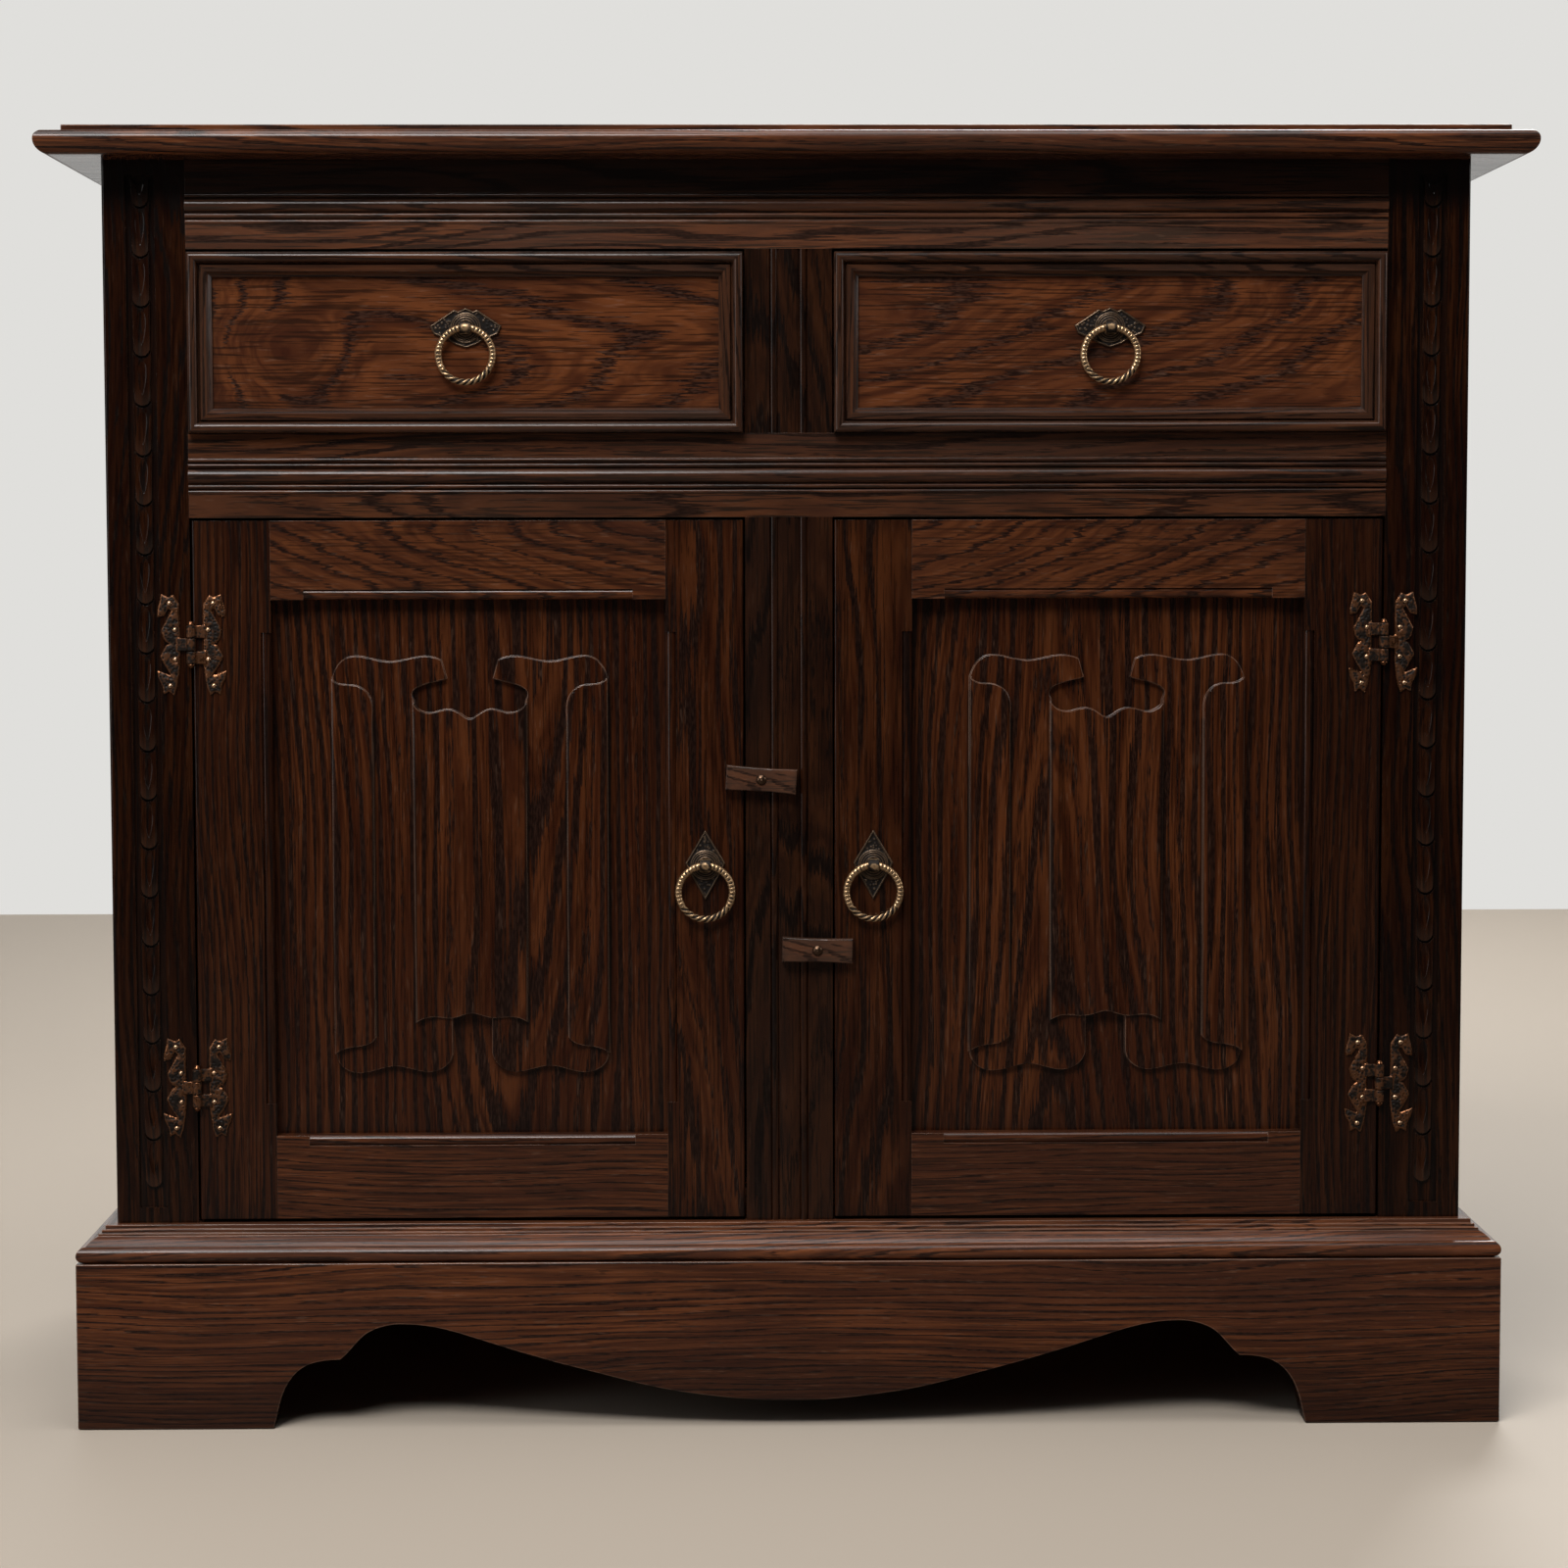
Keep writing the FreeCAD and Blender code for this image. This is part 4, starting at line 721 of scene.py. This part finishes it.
# %% Cast metal
def cast(name, bright, dark, rough=0.3, spread=0.8):
    finish = Finish(name)
    place = finish.add("TexCoord", {}, {}, "Object")
    hollow = finish.add("Attribute", {"attribute_name": "hollow"}, {}, "Fac")
    grain = finish.noise(finish.stretch(place, (900, 900, 900)), 1.0, 2.0)
    cloud = finish.noise(finish.stretch(place, (160, 160, 160)), 2.0, 2.0)
    worn = (1 - (hollow * 1.2 + (cloud - 0.5) * spread + (grain - 0.5) * 0.6)).ease(0.1, 0.95)
    colour = finish.mix(worn, dark, bright)
    bump = finish.add("Bump", {}, {"Height": grain, "Distance": 0.08 * mm, "Strength": 0.5})
    shader = finish.add("BsdfPrincipled", {}, {
        "Base Color": colour, "Metallic": worn * 0.95, "Normal": bump,
        "Roughness": rough + 0.3 * (1 - worn), "Specular IOR Level": 0.15})
    return finish.end(shader)


copper = cast("antique_copper", srgb(112, 74, 50), srgb(18, 12, 8), rough=0.24, spread=2.4)
brass = cast("antique_brass", srgb(190, 156, 118), srgb(22, 15, 10), spread=1.7)
pewter = cast("rubbed_plate", srgb(104, 86, 70), srgb(16, 11, 8), spread=1.4)
nail = cast("copper_nails", srgb(176, 140, 110), srgb(46, 31, 22), rough=0.24, spread=1.4)
screw = cast("dark_screws", srgb(84, 64, 50), srgb(22, 16, 12))

# %% [markdown]
# Cast ornament is too fine for the solids. Each cast piece is a copy of its solid that a voxel
# remesh turns into an even skin, fine enough to be pushed in and out as soft wax is before the
# casting. A function says, for each point of the front, how far it rises and how hollow it is.

# %% Casting helpers
def outline_of(bm, step):
    """The places along the front's outline, in a tree that finds the nearest one."""
    rims = [edge for edge in bm.edges if len(edge.link_faces) == 2
            and sum(face.normal.y < -0.7 for face in edge.link_faces) == 1]
    places = []
    for edge in rims:
        first, second = (v.co for v in edge.verts)
        count = max(1, round(edge.calc_length() / step))
        places += [first.lerp(second, index / count) for index in range(count)]
    tree = KDTree(len(places))
    for index, place in enumerate(places):
        tree.insert((place.x, 0, place.z), index)
    tree.balance()
    return tree


def cast_copy(node, finish, grid, shape, smoothing=3):
    """A fine skin over the node's solid, shaped like wax on its front."""
    name = node + "_cast"
    bm = copy_of(node)
    tree = outline_of(bm, grid / 2)
    lump = placed(name + "_lump", bm, [finish])
    even = lump.modifiers.new("even_skin", "REMESH")
    even.mode = "VOXEL"
    even.voxel_size = grid
    skin = baked(lump)
    for _ in range(smoothing):
        bmesh.ops.smooth_vert(skin, verts=skin.verts, factor=0.5, use_axis_x=True,
                              use_axis_y=True, use_axis_z=True)
    hollow = skin.verts.layers.float.new("hollow")
    moved = 0
    for v in skin.verts:
        rise, depth = 0.0, 0.35
        if v.normal.y < -0.3:
            near = tree.find((v.co.x, 0, v.co.z))[2]
            rise, depth = shape(v.co, near)
        v[hollow] = depth
        v.co.y -= rise
        moved += rise != 0.0
    print(name, "points", len(skin.verts), "moved", moved)
    return placed(name, skin, [finish], smooth=75)


def bump_of(distance, width):
    """1 in the middle, and 0 from the width on."""
    share = min(1.0, abs(distance) / width)
    return (1 - share * share) ** 2


def bead_field(co, pitch):
    """Small beads strewn by hand: 1 on top of a bead and 0 between beads."""
    return min(1.0, 1.3 * bump_of(noise.voronoi(Vector((co.x, 0, co.z)) / pitch)[0][0], 0.62))

# %% [markdown]
# A pull's plate has a raised rim and a beaded ground. Round the stud lie two ring mouldings.

# %% Pull plates
plate_rim = 0.9
plate_bead_pitch = 2.1
boss_radii = (8.1, 6.6, 5.1)


def plate_shape(centre):
    def shape(co, near):
        from_eye = math.hypot(co.x - centre.x, co.z - centre.z) / mm
        from_rim = near / mm
        rim = bump_of(from_rim - plate_rim * 0.7, plate_rim)
        if from_eye < boss_radii[0] + 0.7:
            rings = max(bump_of(from_eye - radius, 0.62) for radius in boss_radii)
            return 0.35 * mm * rings, 0.85 - 0.75 * rings
        beads = bead_field(co, plate_bead_pitch * mm)
        high = max(rim, 0.75 * beads if from_rim > 1.5 else 0.0)
        return (0.45 * high - 0.25 * (1 - rim)) * mm, 0.95 - 0.9 * high
    return shape


for thing in ("door", "drawer"):
    for side in ("left", "right"):
        node = f"{thing}_{side}_pull_plate"
        low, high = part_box(f"{thing}_{side}_pull_stud")
        centre = (low + high) / 2
        plate = cast_copy(node, pewter, 0.28 * mm, plate_shape(centre))
        stand_for(plate, "antique_brass", node)

# %% [markdown]
# A stud's eye is a plain round block. A round patch in the middle of its front is painted bright,
# as a little ball's highlight, and the rest of the front is painted dark.

# %% Studs
def stud_shape(centre):
    def shape(co, near):
        # A painted highlight where a ball would sit, and painted shade round it: the front stays
        # flat.
        painted_ball = bump_of(math.hypot(co.x - centre.x, co.z - centre.z) / mm, 3.4)
        return 0.0, 0.75 - 0.65 * painted_ball
    return shape


for thing in ("door", "drawer"):
    for side in ("left", "right"):
        node = f"{thing}_{side}_pull_stud"
        low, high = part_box(node)
        stud = cast_copy(node, brass, 0.25 * mm, stud_shape((low + high) / 2))
        stand_for(stud, "antique_brass", node)

# %% [markdown]
# A pull's ring is a plain round above, with a chain of small hollows on its front, and turns to
# a rope below. Its section is a circle that is spun round the ring's axis. The rope comes from
# moving each point a little in or out along a screw line, and the hollows in the same way.

# %% Rings
ring_steps = 240
tube_steps = 24
rope_turns = 26
rope_from = math.radians(118)
chain_links = 44


def pull_ring(name, low, high):
    centre = (low + high) / 2
    tube = (high.y - low.y) / 2
    radius = (high.x - low.x) / 2 - tube
    bm = bmesh.new()
    bmesh.ops.create_circle(bm, segments=tube_steps, radius=tube)
    bmesh.ops.translate(bm, verts=bm.verts, vec=(radius, 0, 0))
    bmesh.ops.spin(bm, geom=bm.edges[:], cent=(0, 0, 0), axis=(0, 1, 0), angle=math.tau,
                   steps=ring_steps, use_merge=True)
    bmesh.ops.recalc_face_normals(bm, faces=bm.faces)
    hollow = bm.verts.layers.float.new("hollow")
    for v in bm.verts:
        around = math.atan2(v.co.x, v.co.z)
        spoke = Vector((math.sin(around), 0, math.cos(around)))
        out = v.co - spoke * radius
        about = math.atan2(out.y, out.dot(spoke))
        rope_share = min(1.0, max(0.0, (abs(around) - rope_from) / math.radians(8)))
        strand = math.cos(3 * about - rope_turns * around)
        links = bump_of(((around * chain_links / math.tau) % 1.0 - 0.5) * 2, 0.75)
        front = max(0.0, -out.normalized().y) ** 2
        rise = rope_share * 0.16 * (strand - 1) - (1 - rope_share) * 0.22 * links * front
        v.co += out * rise
        dips = (1 - rope_share) * 0.9 * links * front
        v[hollow] = min(1.0, rope_share * 0.55 * (1 - strand) + dips)
    bmesh.ops.translate(bm, verts=bm.verts, vec=centre)
    print(name, "tube", round(tube / mm, 2), "radius", round(radius / mm, 2))
    return placed(name, bm, [brass], smooth=80)


for thing in ("door", "drawer"):
    for side in ("left", "right"):
        node = f"{thing}_{side}_pull_ring"
        stand_for(pull_ring(node + "_rope", *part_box(node)), "antique_brass", node)

# %% [markdown]
# The hinge leaves are cast with rounded edges and a skin of small pits. The pits are nearly
# black, and the net between them is rubbed to copper, most of all on the outer curves.

# %% Hinges
pit_pitch = 1.8
hinge_leaf_face = -191.0 * mm


def pitted(co, near):
    from_rim = near / mm
    pit = bead_field(co, pit_pitch * mm)
    if co.y < hinge_leaf_face:
        return -0.15 * mm * pit, 0.45 + 0.4 * pit
    dome = math.sin(min(1.0, from_rim / 3.2) * math.pi / 2)
    pit *= min(1.0, from_rim / 1.2)
    rim = bump_of(from_rim - 0.4, 0.9)
    return (0.7 * dome - 0.45 * pit - 0.35) * mm, 0.52 + 0.5 * pit - 0.4 * rim


for node in ("hinge_post_leaves", "door_left_hinge_leaves", "door_right_hinge_leaves"):
    leaves = cast_copy(node, copper, 0.4 * mm, pitted, smoothing=5)
    stand_for(leaves, "antique_copper", node)

# %% [markdown]
# Pins, nails and screws are turned or pressed, and plain. Their solids already have the round
# heads, so their copies only take the metal. The nails' heads are rubbed brighter than the hinges.

# %% Pins, nails and screws
fasteners = {
    "hinge_pins": (copper, "antique_copper"), "button_screws": (screw, "dark_screws"),
    "hinge_post_nails": (nail, "copper_nails"), "door_left_hinge_nails": (nail, "copper_nails"),
    "door_right_hinge_nails": (nail, "copper_nails"),
}
for node, (finish, slot) in fasteners.items():
    stand_for(placed(node + "_turned", copy_of(node), [finish]), slot, node)
print("kinds of fastener", len(fasteners))

# %% [markdown]
# A turn button is a small bar of oak that turns on its screw and holds a door shut. Its grain
# runs along it. Fingers have rubbed it grey, so it has more wear than any board.

# %% Turn buttons
for level in ("upper", "lower"):
    node = f"turn_button_{level}"
    look = dict(heart=(0.03, 0.0), seed=80.0, ring=2.0, tone=0.45, fine=0.9, sheen=1.0, shade=0.6,
                reach=6, wear=0.09)
    wood = grained(node, "x", look, rubbed=0.4)
    button = softened(placed(node + "_wood", board_copy(node), wood), 0.5)
    stand_for(button, "turn_button_oak", node)
